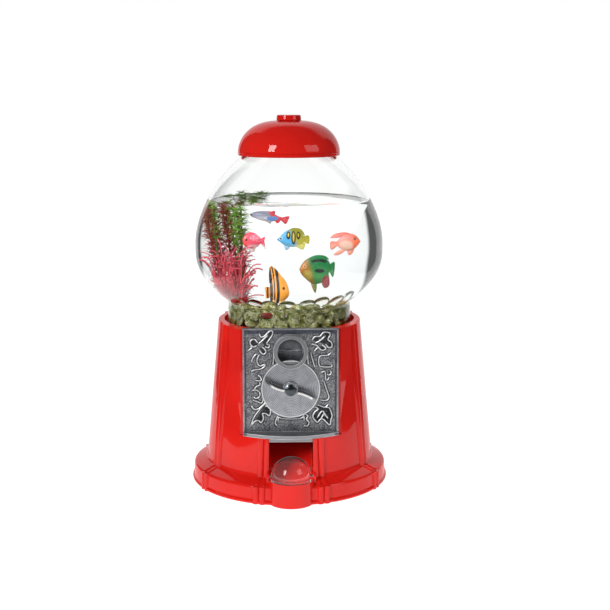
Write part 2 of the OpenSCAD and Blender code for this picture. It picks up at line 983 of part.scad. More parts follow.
module flap_pins()
{
    color(steel)
        for (side = [-1, 1])
            translate([side * (flap_ear_x + 0.2), -cup_y, flap_z])
                rotate([0, side * 90, 0])
                    cylinder(r = flap_pin_r, h = flap_lug_x - flap_ear_x + flap_lug_t - 0.2);
}

ramp_low = [-cup_block_y - 8, cup_floor_z + 1];
ramp_high = [throat_y + throat_l + 6.4, shaft_z - drum_r - drum_wall - 17.6];
ramp_t = 1.5;
ramp_w = chute_w - seat_gap;
rivet_at = ramp_low + [6, 19.8];
rivet_r = 1.5;

module chute_ramp()
{
    side_h = 13;
    run = ramp_high - ramp_low;
    along = run / norm(run);
    up = [-along[1], along[0]];
    color(red)
        difference()
        {
            union()
            {
                // sloping floor
                translate([-ramp_w, 0, 0])
                    rotate([90, 0, 90])
                        linear_extrude(height = 2 * ramp_w)
                            polygon([ramp_low, ramp_high, ramp_high + ramp_t * up,
                                     ramp_low + ramp_t * up]);
                // two side walls
                for (side = [-1, 1])
                    translate([side * (ramp_w - ramp_t / 2) - ramp_t / 2, 0, 0])
                        rotate([90, 0, 90])
                            linear_extrude(height = ramp_t)
                                polygon([ramp_low, ramp_high, ramp_high + side_h * up,
                                         ramp_low + [0, side_h + 8]]);
            }
            translate([0, rivet_at[0], rivet_at[1]])
                rotate([0, 90, 0])
                    cylinder(r = rivet_r, h = 3 * ramp_w, center = true);
        }
}

module chute_rivets()
{
    head_r = 2.6;
    head_h = 0.8;
    color(steel)
        for (side = [-1, 1])
            translate([side * (ramp_w - ramp_t), rivet_at[0], rivet_at[1]])
                rotate([0, side * 90, 0])
                {
                    cylinder(r = rivet_r, h = chute_w - ramp_w + ramp_t + cheek_t - 0.5);
                    translate([0, 0, -head_h])
                        cylinder(r = head_r, h = head_h);
                }
}

// ---- Underside ----
plug_r = 18;
plug_y = 45;

module bottom_plate()
{
    color([0.12, 0.12, 0.12])
        difference()
        {
            translate([0, 0, bottom_plate_z])
                cylinder(r = foot_inner_r - 0.3, h = bottom_plate_t);
            translate([0, plug_y, 0])
                cylinder(r = plug_r, h = 10);
            for (a = bottom_screw_angles)
                rotate([0, 0, a])
                    translate([bottom_screw_r, 0, 0])
                        cylinder(r = pilot_r + 0.3, h = 10);
        }
}

module bottom_screws()
{
    color(steel)
        for (a = bottom_screw_angles)
            rotate([0, 0, a])
                translate([bottom_screw_r, 0, bottom_plate_z])
                    screw(3.2, 1.1, pilot_r, 9);
}

module bank_plug()
{
    color([0.1, 0.1, 0.1])
        difference()
        {
            union()
            {
                translate([0, plug_y, bottom_plate_z - 1])
                    cylinder(r = plug_r + 2.5, h = 1);
                translate([0, plug_y, bottom_plate_z - 1])
                    cylinder(r = plug_r - run_gap, h = 6);
            }
            translate([0, plug_y, bottom_plate_z + 1])
                cylinder(r = plug_r - 3, h = 10);
        }
}

// ---- Globe, water, pebbles ----
belly_top = base_h + belly_rise + 4.2;
belly_low = base_h + belly_rise - 4.1;
mouth_z = base_h + mouth_rise;
shoulder_z = mouth_z - 8;
neck_z = globe_z + 25.1;

// Above the belly the wall follows a power curve to the shoulder, and below it a bell to the neck
crown_h = (shoulder_z - belly_top)
          / pow(1 - pow((mouth_r + 1.9) / globe_r, 1.713), 1 / 1.692);
skirt_fall = (belly_low - neck_z) / pow(ln(globe_r / neck_r), 1 / 2.432);
function globe_outer(z) =
    z >= belly_top ? globe_r * pow(1 - pow((z - belly_top) / crown_h, 1.692), 1 / 1.713)
    : z >= belly_low ? globe_r
    : globe_r * exp(-pow((belly_low - z) / skirt_fall, 2.432));

// Outer profile from the heel of the neck up to the shoulder
globe_side = concat(
    arc(neck_r - 4, globe_z + 4, 4, -90, 0, 4),
    [for (i = [0:24]) let (z = neck_z + (belly_low - neck_z) * i / 24) [globe_outer(z), z]],
    [for (i = [0:28]) let (a = 90 * i / 28, z = belly_top + (shoulder_z - belly_top) * sin(a))
        [globe_outer(z), z]]);
globe_lining = inset(globe_side, glass_t);

module globe()
{
    color([0.85, 0.92, 0.93, 0.25])
        rotate_extrude()
            polygon(concat(
                [[0, globe_z]],
                globe_side,
                [[mouth_r, shoulder_z + 2], [mouth_r, mouth_z - 1]],
                [[mouth_r - 1, mouth_z], [mouth_r - glass_t + 1, mouth_z],
                 [mouth_r - glass_t, mouth_z - 1], [mouth_r - glass_t, shoulder_z]],
                [for (i = [len(globe_lining) - 1:-1:0]) globe_lining[i]],
                [[0, globe_z + glass_t]]));
}

water_z = base_h + water_rise;
bed_z = base_h + bed_rise;
water_side = [for (p = globe_lining) if (p[1] < water_z - 1) p];
function lining_r(z) = lookup(z, [for (p = globe_lining) [p[1], p[0]]]);

module water()
{
    color([0.75, 0.9, 0.95, 0.2])
        rotate_extrude()
            polygon(concat([[0, globe_z + glass_t]],
                           [for (p = water_side) p - [run_gap, 0]],
                           [[lining_r(water_z) - run_gap, water_z], [0, water_z]]));
}

gem_r = 9.4;
gem_h = 5.2;
gem_layers = 5;
loose_gems = 14;

module gem()
{
    // a flat glass gem: a cap of a ball, rounded off at its rim
    ball_r = (gem_r * gem_r + gem_h * gem_h) / (2 * gem_h) + 1;
    intersection()
    {
        translate([0, 0, gem_h - ball_r])
            sphere(r = ball_r);
        cylinder(r = gem_r, h = gem_h + 1);
    }
}

module pebbles()
{
    pitch = 2 * gem_r + 1;
    low = globe_z + glass_t + 1.4;
    rise = (bed_z - low) / gem_layers;
    bed_r = neck_r - glass_t - gem_r - 0.6;
    color([0.62, 0.68, 0.55, 0.6])
    {
        for (k = [0:gem_layers - 1], i = [-4:4], j = [-4:4])
        {
            x = (i + j / 2) * pitch + (k % 2) * pitch / 2;
            y = j * pitch * sin(60) + (k % 3) * pitch / 5;
            if (norm([x, y]) < bed_r && !in_plant_base(x, y))
                translate([x, y, low + k * rise])
                    rotate([5 * sin(97 * i + 31 * j), 5 * cos(53 * j + 71 * k), 0])
                        gem();
        }
        // the last few lie loose in a ring on top
        for (i = [0:loose_gems - 1])
        {
            a = i * 360 / loose_gems;
            ring_r = bed_r - 1.5;
            if (!in_plant_base(ring_r * cos(a), ring_r * sin(a)))
                rotate([0, 0, a])
                    translate([ring_r, 0, bed_z + 1.2])
                        rotate([0, 10 + 6 * sin(130 * i), 0])
                            gem();
        }
    }
}

// ---- Plants ----
plant_x = 26.1 - neck_r;
plant_y = 14;
plant_foot_r = 13;
grass_x = 10.1 - neck_r;
grass_y = -4;
grass_foot_r = 5;
function in_plant_base(x, y) =
    norm([x - plant_x, y - plant_y]) < plant_foot_r + gem_r + 1
    || norm([x - grass_x, y - grass_y]) < grass_foot_r + gem_r + 0.5;

module plant_base()
{
    low = globe_z + glass_t + 0.4;
    color([0.35, 0.08, 0.1])
        translate([plant_x, plant_y, low])
            difference()
            {
                cylinder(r1 = plant_foot_r, r2 = plant_foot_r - 2, h = bed_z - low);
                for (s = plant_stems)
                    translate([s[0], s[1], 4])
                        cylinder(r = stem_r, h = 60);
            }
}

stem_r = 0.8;
// Each stem: place on the foot, height, lean along X and Y
plant_stems = [[-9, 0, 88, -12, 1], [0, 9, 93, -3, 6], [8, 1, 84, 5, 3], [2, -7, 70, -2, 2]];

// A stem with a star of leaves every few millimetres
module whorled_stem(s, leaves, leaf_l, first)
{
    low = globe_z + glass_t + 4.4;
    step = 8;
    count = floor((s[2] - first) / step);
    translate([plant_x + s[0], plant_y + s[1], low])
        cylinder(r = stem_r - run_gap, h = bed_z - low + 1);
    translate([plant_x + s[0], plant_y + s[1], bed_z])
        rotate([-s[4], s[3], 0])
        {
            cylinder(r = stem_r - run_gap, h = s[2]);
            for (i = [1:count])
                translate([0, 0, first + i * step])
                    rotate([0, 0, 25 * i])
                        linear_extrude(height = 0.9)
                            star(leaves, leaf_l);
        }
}

module star(leaves, leaf_l)
{
    polygon([for (k = [0:leaves - 1], side = [0, 1])
             polar(side == 0 ? leaf_l : 1.6, (k + side / 2) * 360 / leaves)]);
}

module plant_red()
{
    color([0.45, 0.05, 0.12])
    {
        whorled_stem(plant_stems[0], 6, 9, 5);
        whorled_stem(plant_stems[2], 6, 8.6, 5);
    }
}

module plant_green()
{
    color([0.35, 0.7, 0.15])
    {
        whorled_stem(plant_stems[1], 8, 9.5, 9);
        whorled_stem(plant_stems[3], 8, 8, 9);
    }
}

// A tuft of blades that bend outwards, each [direction, length, reach]
grass_blades = [[172, 44, 14], [196, 62, 26], [218, 50, 18], [240, 66, 28], [264, 48, 16],
                [292, 58, 20]];

module blade(l, reach)
{
    w = 2.6;
    n = 8;
    rotate([90, 0, 0])
        translate([0, 0, -0.4])
            linear_extrude(height = 0.8)
                polygon(concat(
                    [for (i = [0:n]) let (t = i / n) [reach * t * t + w * (1 - t) / 2, l * t]],
                    [for (i = [n - 1:-1:0]) let (t = i / n) [reach * t * t - w * (1 - t) / 2, l * t]]));
}

module plant_grass()
{
    color([0.8, 0.25, 0.3])
        translate([grass_x, grass_y, bed_z + eps])
        {
            translate([0, 0, globe_z + glass_t + 0.4 - bed_z])
                cylinder(r = grass_foot_r, h = bed_z - globe_z - glass_t);
            cylinder(r = 2.2, h = 5);
            for (b = grass_blades)
                rotate([0, 0, b[0]])
                    blade(b[1], b[2]);
        }
}

// ---- Toy fish ----
// A flat moulded fish, nose towards -X: a lens-shaped body between its back and its belly line,
// and thin fins
module toy_fish(back, belly, fins, t)
{
    count = len(belly);
    ball = 9 * t;
    rotate([90, 0, 0])
    {
        intersection()
        {
            translate([0, 0, -t / 2])
                linear_extrude(height = t)
                    polygon(concat(back, [for (i = [count - 1:-1:0]) belly[i]]));
            translate([0, 0, t / 2 - ball])
                sphere(r = ball, $fn = 240);
            translate([0, 0, ball - t / 2])
                sphere(r = ball, $fn = 240);
        }
        translate([0, 0, -fin_t / 2])
            linear_extrude(height = fin_t)
                for (f = fins)
                    polygon(f);
    }
}

fin_t = 1;
// Places of the fish in the water: x, y, height above the rim
guppy_at = [-16, -8, 100];
pink_at = [-28, -5, 80];
blue_at = [3, -6, 82];
coral_at = [45, -4, 78];
green_at = [22, -10, 58];
angel_at = [-10, -12, 46];

module fish_at(p, flip)
{
    translate([p[0], p[1], base_h + p[2]])
        mirror([flip, 0, 0])
            children();
}

module fish_guppy()
{
    color([0.45, 0.5, 0.7])
        fish_at(guppy_at, 0)
            toy_fish([[-15.9, 3.1], [-12.4, 4.8], [-8.1, 5.6], [-1.6, 5.5], [1.6, 5.1], [5.9, 1.8],
                      [10.2, 0]],
                     [[-14.5, 1], [-10.2, -1.4], [-3.8, -3.3], [0.5, -3.6], [4.8, -3.3],
                      [10.2, -2.5]],
                     [[[0.5, 4.1], [4.5, 6], [4, 2.1]],
                      [[-3.8, -2.3], [0.5, -5.5], [1.8, -2.6]],
                      [[4.8, -2.5], [5.9, -5.2], [8.3, -4.1], [8.7, -2]],
                      [[8.8, -0.6], [15.8, 1], [15.2, -2.5], [13, -5.9], [8.8, -2]]], 4.5);
}

module fish_pink()
{
    color([0.9, 0.3, 0.35])
        fish_at(pink_at, 0)
            toy_fish([[-9.3, 0.9], [-8, 4.3], [-3.9, 7.1], [-0.6, 6.9], [3.1, 4.8], [6, 1.6]],
                     [[-8.7, -2.2], [-6, -4.8], [-1.7, -5.9], [3.1, -4.3], [6, -1.1]],
                     [[[4.6, 1], [9, 3.4], [8.3, -0.2], [9.3, -6], [4.6, -1]],
                      [[-4.4, -4.4], [-2.8, -7.8], [0.4, -7.3], [1.3, -4.4]]], 5.5);
}

module fish_blue()
{
    color([0.1, 0.45, 0.75])
        fish_at(blue_at, 0)
            toy_fish([[-13, -1.1], [-10, 1.9], [-6.2, 5.8], [-0.9, 7.4], [5.1, 6.1], [9.2, 1.1]],
                     [[-9.8, -3.2], [-5.7, -5.8], [0.2, -6.5], [5.6, -5.2], [9.2, -2.5]],
                     [[[7.7, 1], [12.2, 2.4], [13.2, -0.9], [12.2, -4.3], [7.7, -2]],
                      [[-5.7, 5], [-0.3, 8.5], [6.4, 7.5], [9.6, 1.7], [5.1, 5]],
                      [[-7.4, -4], [-5.7, -8.6], [-2.9, -7.3], [-2.5, -5]],
                      [[1, -5.5], [7.9, -8.4], [9.6, -3.6], [5.1, -4.2]]], 5.5);
}

module fish_coral()
{
    color([0.95, 0.45, 0.4])
        fish_at(coral_at, 1)
            toy_fish([[-12.4, 1.3], [-8.9, 5.6], [-4.1, 7.5], [1.3, 6.5], [5.6, 3.2], [7.5, 0.9]],
                     [[-10, -1.3], [-6.2, -4.3], [-0.9, -5.2], [4, -4.1], [7.5, -1.6]],
                     [[[5.9, 0.8], [12.5, 1.1], [11.8, -4.7], [5.9, -1.2]],
                      [[-6.2, 6], [-2, 8.2], [2.4, 8.6], [8.8, 7.3], [12.7, 3.9], [7.8, 3.9],
                       [2.4, 4.9]],
                      [[1.1, -4.2], [6.5, -5.4], [10.1, -8.8], [5.4, -9], [-0.5, -4.2]],
                      [[-1.1, -4], [-1.9, -9.4], [-5.2, -8], [-6.4, -3.2]]], 5.5);
}

module fish_green()
{
    color([0.1, 0.6, 0.3])
        fish_at(green_at, 0)
            toy_fish([[-14.1, 0.1], [-11.4, 4.4], [-7.3, 8.7], [-1.9, 10.4], [4.5, 9.8],
                      [9.4, 6.2], [10.8, 3]],
                     [[-12.7, -2.5], [-8.4, -5.1], [-3, -7], [3.4, -6.4], [7.8, -3.8],
                      [10.8, -0.3]],
                     [[[9.3, 2.4], [13.8, 5.3], [14.4, 1.4], [12.7, -3.8], [9.3, 0]],
                      [[-7.3, 7.9], [-1.4, 11.5], [5.8, 11.2], [9.9, 7.3], [4, 8.4]],
                      [[-5.4, -5.4], [-1.3, -12], [-0.4, -5.8]],
                      [[3.4, -5.1], [5.8, -8.9], [9.9, -7.6], [9.5, -2.8], [7.8, -2.1]]], 6.5);
}

module fish_angel()
{
    color([0.95, 0.6, 0.1])
        fish_at(angel_at, 1)
            toy_fish([[-9.9, 0.5], [-8.3, 4.7], [-4, 8.4], [1.4, 9.5], [4.8, 6.5], [5.9, 3]],
                     [[-9.2, -2.2], [-6.1, -5.4], [-1.8, -7], [3, -5.9], [5.7, -2.7]],
                     [[[4.5, 2.6], [9.6, 3.4], [9.2, -0.2], [8.9, -4.3], [4.5, -2.2]],
                      [[-5.1, 6.8], [1.4, 12.7], [5.7, 13.8], [6.1, 5.2], [1.4, 8.3]],
                      [[5.5, -2], [4.4, -13.6], [1.2, -12.9], [-1, -5.9]],
                      [[-0.5, -5.9], [-2.9, -12.7], [-5.1, -12.1], [-6.4, -4.2]]], 5.5);
}

// ---- Lid ----
lid_r = mouth_r + lid_over;
lid_z = mouth_z - 8.6;
lid_band = 3.4;
lid_crown = lid_z + lid_h;

function lid_outer(t) = lid_r * pow(1 - pow(t, 1.7785), 1 / 3.04);

lid_side = concat([[lid_r - 0.6, lid_z], [lid_r, lid_z + 0.8], [lid_r, lid_z + lid_band - 0.6],
                   [lid_r - 0.5, lid_z + lid_band]],
                  [for (i = [0:22]) let (t = sin(90 * i / 23))
                      [lid_outer(t), lid_z + lid_band + 0.4 + t * (lid_h - lid_band - 0.4)]]);
lid_lining = inset(lid_side, lid_t);

module lid()
{
    seat_low = mouth_z;
    screw_hole_r = 2.2;
    color(red)
        difference()
        {
            union()
            {
                rotate_extrude()
                    polygon(concat(lid_side, [[0, lid_crown], [0, lid_crown - lid_t]],
                                   [for (i = [len(lid_lining) - 1:-1:0]) lid_lining[i]]));
                // the inner ring that sits on the globe's mouth
                translate([0, 0, seat_low])
                    rotate_extrude()
                        polygon([[mouth_r - glass_t - 3, 0], [lid_r - lid_t, 0],
                                 [lid_r - lid_t, 2], [mouth_r - glass_t - 3, 2]]);
                // a spigot that keeps the lid centred in the mouth
                translate([0, 0, seat_low - 5])
                    difference()
                    {
                        cylinder(r = mouth_r - glass_t - 0.5, h = 6);
                        translate([0, 0, -1])
                            cylinder(r = mouth_r - glass_t - 2, h = 9);
                    }
            }
            translate([0, 0, lid_crown - 6])
                cylinder(r = screw_hole_r, h = 10);
            // a flat for the screw's head
            translate([0, 0, lid_crown - lid_t - 2])
                cylinder(r = knob_screw_r + 0.6, h = 2);
        }
}

knob_h = 5.3;
knob_screw_r = 3.4;

module lid_knob()
{
    color(red)
        difference()
        {
            translate([0, 0, lid_crown])
                rotate_extrude()
                    polygon(concat([[0, 0], [knob_r, 0], [knob_r, 1]],
                                   arc(knob_r - 1.5, knob_h - 1.2, 1.2, 10, 90, 5),
                                   [[0, knob_h]]));
            translate([0, 0, lid_crown - 1])
                cylinder(r = pilot_r, h = knob_h - 0.5);
        }
}

module knob_screw()
{
    color(steel)
        translate([0, 0, lid_crown - lid_t])
            screw(knob_screw_r, 1.6, pilot_r, lid_t + 3.5);
}

base_casting();
hopper_plate();
hopper_screws();
globe_gasket();
coin_plate();
plate_screws();
mechanism_housing();
wheel_drum();
mechanism_screws();
chute_ramp();
chute_rivets();
flap_pins();
bottom_plate();
bottom_screws();
bank_plug();
pawl_pin();
pawl_spring();
pawl();
turn_handle();
hub_cap();
handle_shaft();
coin_wheel();
ratchet_wheel();
gum_wheel();
shaft_washer();
shaft_nut();
chute_flap();
globe();
water();
pebbles();
plant_base();
plant_red();
plant_green();
plant_grass();
fish_guppy();
fish_pink();
fish_blue();
fish_coral();
fish_green();
fish_angel();
lid();
lid_knob();
knob_screw();
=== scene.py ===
# %% [markdown]
# # A gumball machine kept as a fish bowl
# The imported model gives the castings, the mechanism and every moving body. This lesson dresses it:
# enamel, cast pewter, turned metal, blown glass, water, glass gems, moulded fish and soft plants.
# Sizes are written in millimetres and turned into Blender's metres by one factor.

# %% Load the frame
import bpy
import bmesh
import math
import random
from mathutils import Matrix, Vector


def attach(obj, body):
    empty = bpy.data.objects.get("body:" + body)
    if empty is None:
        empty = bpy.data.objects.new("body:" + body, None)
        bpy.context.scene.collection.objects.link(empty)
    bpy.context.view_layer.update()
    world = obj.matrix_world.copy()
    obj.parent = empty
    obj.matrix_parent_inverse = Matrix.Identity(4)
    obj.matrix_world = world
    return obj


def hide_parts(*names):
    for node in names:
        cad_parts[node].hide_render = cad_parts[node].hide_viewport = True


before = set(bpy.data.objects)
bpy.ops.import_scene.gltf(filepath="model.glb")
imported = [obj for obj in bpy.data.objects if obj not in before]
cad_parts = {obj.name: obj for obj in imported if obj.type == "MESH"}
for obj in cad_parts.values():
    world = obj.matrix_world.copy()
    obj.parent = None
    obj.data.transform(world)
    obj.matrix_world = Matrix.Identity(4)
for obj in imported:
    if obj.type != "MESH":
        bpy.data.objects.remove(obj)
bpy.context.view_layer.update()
MM = 0.001

# %% [markdown]
# The solids already say where things are. The box round a node gives the heights and radii that
# the dressing needs, so that the new pieces move along if the model under them changes.

# %% Measures from the solids
def span(node, axis):
    """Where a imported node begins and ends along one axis, in millimetres."""
    values = [corner["XYZ".index(axis)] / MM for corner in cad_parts[node].bound_box]
    return round(min(values), 1), round(max(values), 1)


BASE_H = span("base_casting", "Z")[1]
SHAFT_Z = sum(span("handle_shaft", "Z")) / 2
GLOBE_Z, MOUTH_Z = span("globe", "Z")
GLOBE_R = span("globe", "X")[1]
WATER_Z = span("water", "Z")[1]
FOOT = [sum(span("plant_base", axis)) / 2 for axis in "XY"]
FOOT_R = span("plant_base", "X")[1] - FOOT[0]
BED_Z = span("plant_base", "Z")[1]
print("base to", BASE_H, "shaft at", SHAFT_Z, "globe from", GLOBE_Z, "to", MOUTH_Z)
print("water to", WATER_Z, "gems to", BED_Z, "plants at", FOOT, "on a foot of", FOOT_R)

# %% [markdown]
# The camera stands a good metre in front of the machine and a little above it, as for a catalogue
# picture. It circles one degree to the left, and it turns a little to the right, so that the
# machine stands left of the middle.

# %% Camera
FOCAL_PIXELS, FRAME_PIXELS, SENSOR = 1197.0, 610.0, 36.0
camera_distance, camera_height = 1235.8 * MM, 411 * MM
circled, turned, tipped = math.radians(1.0), math.atan(16 / FOCAL_PIXELS), math.radians(10.41)

camera_data = bpy.data.cameras.new("camera")
camera_data.lens = FOCAL_PIXELS / FRAME_PIXELS * SENSOR
camera_data.sensor_width = SENSOR
camera_data.clip_start, camera_data.clip_end = 0.05, 50
camera = bpy.data.objects.new("camera", camera_data)
camera.location = (-camera_distance * math.sin(circled), -camera_distance * math.cos(circled),
                   camera_height)
camera.rotation_euler = (math.pi / 2 - tipped, 0, -circled - turned)
bpy.context.scene.collection.objects.link(camera)
bpy.context.scene.camera = camera
bpy.context.scene.view_settings.view_transform = "Standard"
print("lens in mm:", round(camera_data.lens, 2))

# %% [markdown]
# Shader maths could be wired up node by node, but it reads best as ordinary expressions. `Wire`
# wraps the output of a node, and its operators add Math nodes, also with the number in front.

# %% Wires
class Wire:
    """The output socket of a node, which can be used in sums."""

    def __init__(self, finish, socket):
        self.finish, self.socket = finish, socket

    def maths(self, operation, a, b):
        return self.finish.node("ShaderNodeMath", {"operation": operation}, {0: a, 1: b})

    def __add__(self, other):
        return self.maths("ADD", self, other)

    def __radd__(self, other):
        return self.maths("ADD", other, self)

    def __sub__(self, other):
        return self.maths("SUBTRACT", self, other)

    def __rsub__(self, other):
        return self.maths("SUBTRACT", other, self)

    def __mul__(self, other):
        return self.maths("MULTIPLY", self, other)

    def __rmul__(self, other):
        return self.maths("MULTIPLY", other, self)

    def __truediv__(self, other):
        return self.maths("DIVIDE", self, other)

    def __pow__(self, other):
        return self.maths("POWER", self, other)

    def size(self):
        return self.maths("ABSOLUTE", self, 0)

    def wave(self):
        return self.maths("SINE", self, 0)

    def step(self, low, high):
        """0 below low, 1 above high, and smooth between them."""
        return self.finish.node("ShaderNodeMapRange", {"interpolation_type": "SMOOTHSTEP"},
                                {"Value": self, "From Min": low, "From Max": high})


print("wires add up")

# %% [markdown]
# `Finish` is a material in the making, round one Principled shader. Its one method `node` adds
# any node, with the settings first and then what goes into its sockets. The others are the few
# patterns that many finishes of this machine share. They read Object coordinates, so a pattern
# keeps its place on a piece when the piece moves.

# %% Finishes
class Finish:
    """A material in the making, round one Principled shader."""

    def __init__(self, name, colour=(0.8, 0.8, 0.8), **constants):
        self.material = bpy.data.materials.new(name)
        self.material.use_nodes = True
        self.tree = self.material.node_tree
        self.surface = self.tree.nodes["Principled BSDF"]
        self.output = self.tree.nodes["Material Output"]
        self.set("Base Color", colour)
        for socket, value in constants.items():
            self.set(socket.replace("_", " "), value)

    def set(self, socket, value):
        self.plug(self.surface.inputs[socket], value)

    def plug(self, socket, value):
        if isinstance(value, Wire):
            self.tree.links.new(value.socket, socket)
        elif socket.type == "RGBA":
            socket.default_value = (*value[:3], 1)
        else:
            socket.default_value = value

    def node(self, kind, settings, sockets, output=0):
        made = self.tree.nodes.new(kind)
        for name, value in settings.items():
            setattr(made, name, value)
        for name, value in sockets.items():
            self.plug(made.inputs[name], value)
        return Wire(self, made.outputs[output])

    def place(self, origin=(0, 0, 0)):
        """Object coordinates in millimetres, measured from an origin on the piece."""
        coordinates = self.node("ShaderNodeTexCoord", {}, {}, "Object")
        return self.node("ShaderNodeMapping", {"vector_type": "TEXTURE"},
                         {"Vector": coordinates, "Location": [v * MM for v in origin],
                          "Scale": (MM, MM, MM)})

    def axes(self, vector):
        split = self.node("ShaderNodeSeparateXYZ", {}, {"Vector": vector})
        return [Wire(self, socket) for socket in split.socket.node.outputs]

    def noise(self, vector, size, detail, roughness=0.5):
        return self.node("ShaderNodeTexNoise", {},
                         {"Vector": vector, "Scale": 1 / size, "Detail": detail,
                          "Roughness": roughness}, "Fac")

    def mix(self, mask, a, b):
        """Colour a where the mask is 0 and colour b where it is 1."""
        return self.node("ShaderNodeMix", {"data_type": "RGBA"}, {0: mask, 6: a, 7: b}, 2)

    def bump(self, height, depth, normal=None):
        """Unevenness as deep as this in millimetres, on top of another normal if there is one."""
        sockets = {"Height": height, "Distance": depth * MM, "Strength": 1.0}
        if normal is not None:
            sockets["Normal"] = normal
        return self.node("ShaderNodeBump", {}, sockets)

    def soft_edges(self, radius):
        """The normal of the piece with its edges rounded off."""
        return self.node("ShaderNodeBevel", {"samples": 6}, {"Radius": radius * MM})

    def edge_highlight(self, radius, low, high):
        """Painted highlight: 1 along edges that a rounding of this radius would turn, 0 on flat
        faces.
        """
        true = self.node("ShaderNodeNewGeometry", {}, {}, "True Normal")
        turned = self.node("ShaderNodeVectorMath", {"operation": "DOT_PRODUCT"},
                           {0: true, 1: self.soft_edges(radius)}, "Value")
        return (1 - turned).step(low, high)

    def spot(self, x, z, centre, size, blur=0.2):
        """1 inside an oval on the XZ plane and 0 outside it."""
        across, up = (x - centre[0]) / size[0], (z - centre[1]) / size[1]
        return 1 - (across * across + up * up).step(1 - blur, 1 + blur)


def paint(names, finish):
    """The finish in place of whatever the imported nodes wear."""
    for name in names:
        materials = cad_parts[name].data.materials
        materials.clear()
        materials.append(finish.material)


print("finishes can be mixed, and painted on", len(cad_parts), "nodes")

# %% [markdown]
# The room is a small studio. Clear glass in a white room has no edges, so the set is made as for
# glassware: a bright backdrop, and dark cards beside it that the bowl bends round to its rim.
# Cards could be planes, but painted on the world they cost nothing and never come too near. Their
# directions are taken from the camera, so the set turns with it and lights every side alike.

# %% Directions in the room
world = bpy.data.worlds.new("studio")
bpy.context.scene.world = world
world.use_nodes = True
sky = world.node_tree
sky.nodes.clear()


def sky_node(kind, **settings):
    made = sky.nodes.new(kind)
    for name, value in settings.items():
        setattr(made, name, value)
    return made


heading = sky_node("ShaderNodeTexCoord").outputs["Generated"]
from_camera = sky_node("ShaderNodeVectorTransform", vector_type="VECTOR", convert_from="WORLD",
                       convert_to="CAMERA")
sky.links.new(heading, from_camera.inputs[0])
ways = {}
for names, vector in (("XYZ", heading), (("right", "up", "ahead"), from_camera.outputs[0])):
    split = sky_node("ShaderNodeSeparateXYZ")
    sky.links.new(vector, split.inputs[0])
    ways.update(zip(names, split.outputs))
print("directions:", *ways)

# %% [markdown]
# The tones are bands across those directions, multiplied where they cross and laid over each
# other. The room in front of the backdrop is dim, so that gloss paint keeps its colour. Where
# the camera sees the world itself it is plain white.

# %% Tones of the room
def sky_band(way, low, high):
    """0 below low and 1 above high, or the other way round if low is the larger."""
    made = sky_node("ShaderNodeMapRange", interpolation_type="SMOOTHSTEP")
    sky.links.new(ways[way], made.inputs["Value"])
    made.inputs["From Min"].default_value = low
    made.inputs["From Max"].default_value = high
    return made.outputs["Result"]


def sky_product(first, *rest):
    for other in rest:
        made = sky_node("ShaderNodeMath", operation="MULTIPLY")
        sky.links.new(first, made.inputs[0])
        sky.links.new(other, made.inputs[1])
        first = made.outputs[0]
    return first


def sky_blend(mask, under, over):
    """over where the mask is 1, under where it is 0; under may be an earlier blend."""
    made = sky_node("ShaderNodeMix", data_type="FLOAT")
    sky.links.new(mask, made.inputs[0])
    if isinstance(under, float):
        made.inputs[2].default_value = under
    else:
        sky.links.new(under, made.inputs[2])
    made.inputs[3].default_value = over
    return made.outputs[0]


DIM_ROOM, BACKDROP, LEFT_CARD, RIGHT_CARD = 0.09, 1.05, 0.10, 0.08
backdrop = sky_product(sky_band("ahead", 0.10, 0.35), sky_band("Z", 0.85, 0.70))
left_card = sky_product(sky_band("right", -0.52, -0.58), sky_band("Z", 0.92, 0.80))
right_card = sky_product(sky_band("right", 0.68, 0.74), sky_band("Z", 0.62, 0.50))
tones = sky_blend(backdrop, DIM_ROOM, BACKDROP)
tones = sky_blend(left_card, tones, LEFT_CARD)
tones = sky_blend(right_card, tones, RIGHT_CARD)
lit = sky_node("ShaderNodeBackground")
sky.links.new(tones, lit.inputs["Color"])
seen = sky_node("ShaderNodeBackground")
seen.inputs["Color"].default_value = (1, 1, 1, 1)
chooser = sky_node("ShaderNodeMixShader")
sky.links.new(sky_node("ShaderNodeLightPath").outputs["Is Camera Ray"], chooser.inputs[0])
sky.links.new(lit.outputs[0], chooser.inputs[1])
sky.links.new(seen.outputs[0], chooser.inputs[2])
sky.links.new(chooser.outputs[0], sky_node("ShaderNodeOutputWorld").inputs["Surface"])
print("world painted")

# %% [markdown]
# The floor is a pale table top. It is narrow, because a wide one would throw white light up at
# the paint from every side. It also glows a little, so that only the contact shadow shows on it,
# and lies a hair under the foot, so that the two faces don't fight.

# %% Floor
LEFT, RIGHT, NEAR, FAR, FLOOR_TOP = -0.36, 0.45, -0.6, 4.0, -0.3 * MM
floor_mesh = bpy.data.meshes.new("floor")
ground = bmesh.new()
ground.faces.new([ground.verts.new((x, y, FLOOR_TOP)) for x, y in
                  ((LEFT, NEAR), (RIGHT, NEAR), (RIGHT, FAR), (LEFT, FAR))])
ground.to_mesh(floor_mesh)
ground.free()
floor = bpy.data.objects.new("floor", floor_mesh)
bpy.context.scene.collection.objects.link(floor)
paper = Finish("pale_paper", (0.30, 0.30, 0.30), Roughness=0.7)
paper.set("Emission Color", (1, 1, 1))
paper.set("Emission Strength", 1.0)
floor_mesh.materials.append(paper.material)
print("floor laid, in metres:", RIGHT - LEFT, "by", FAR - NEAR)

# %% [markdown]
# Two soft boxes light the paint and the plate: a tall narrow one from the left, whose streak
# shows the round of the body, and a broad weak one from the right. They are hidden from rays that
# pass through glass, because the bowl would show each as a white square.

# %% Lamps
AIM = (0, 0, 0.2)


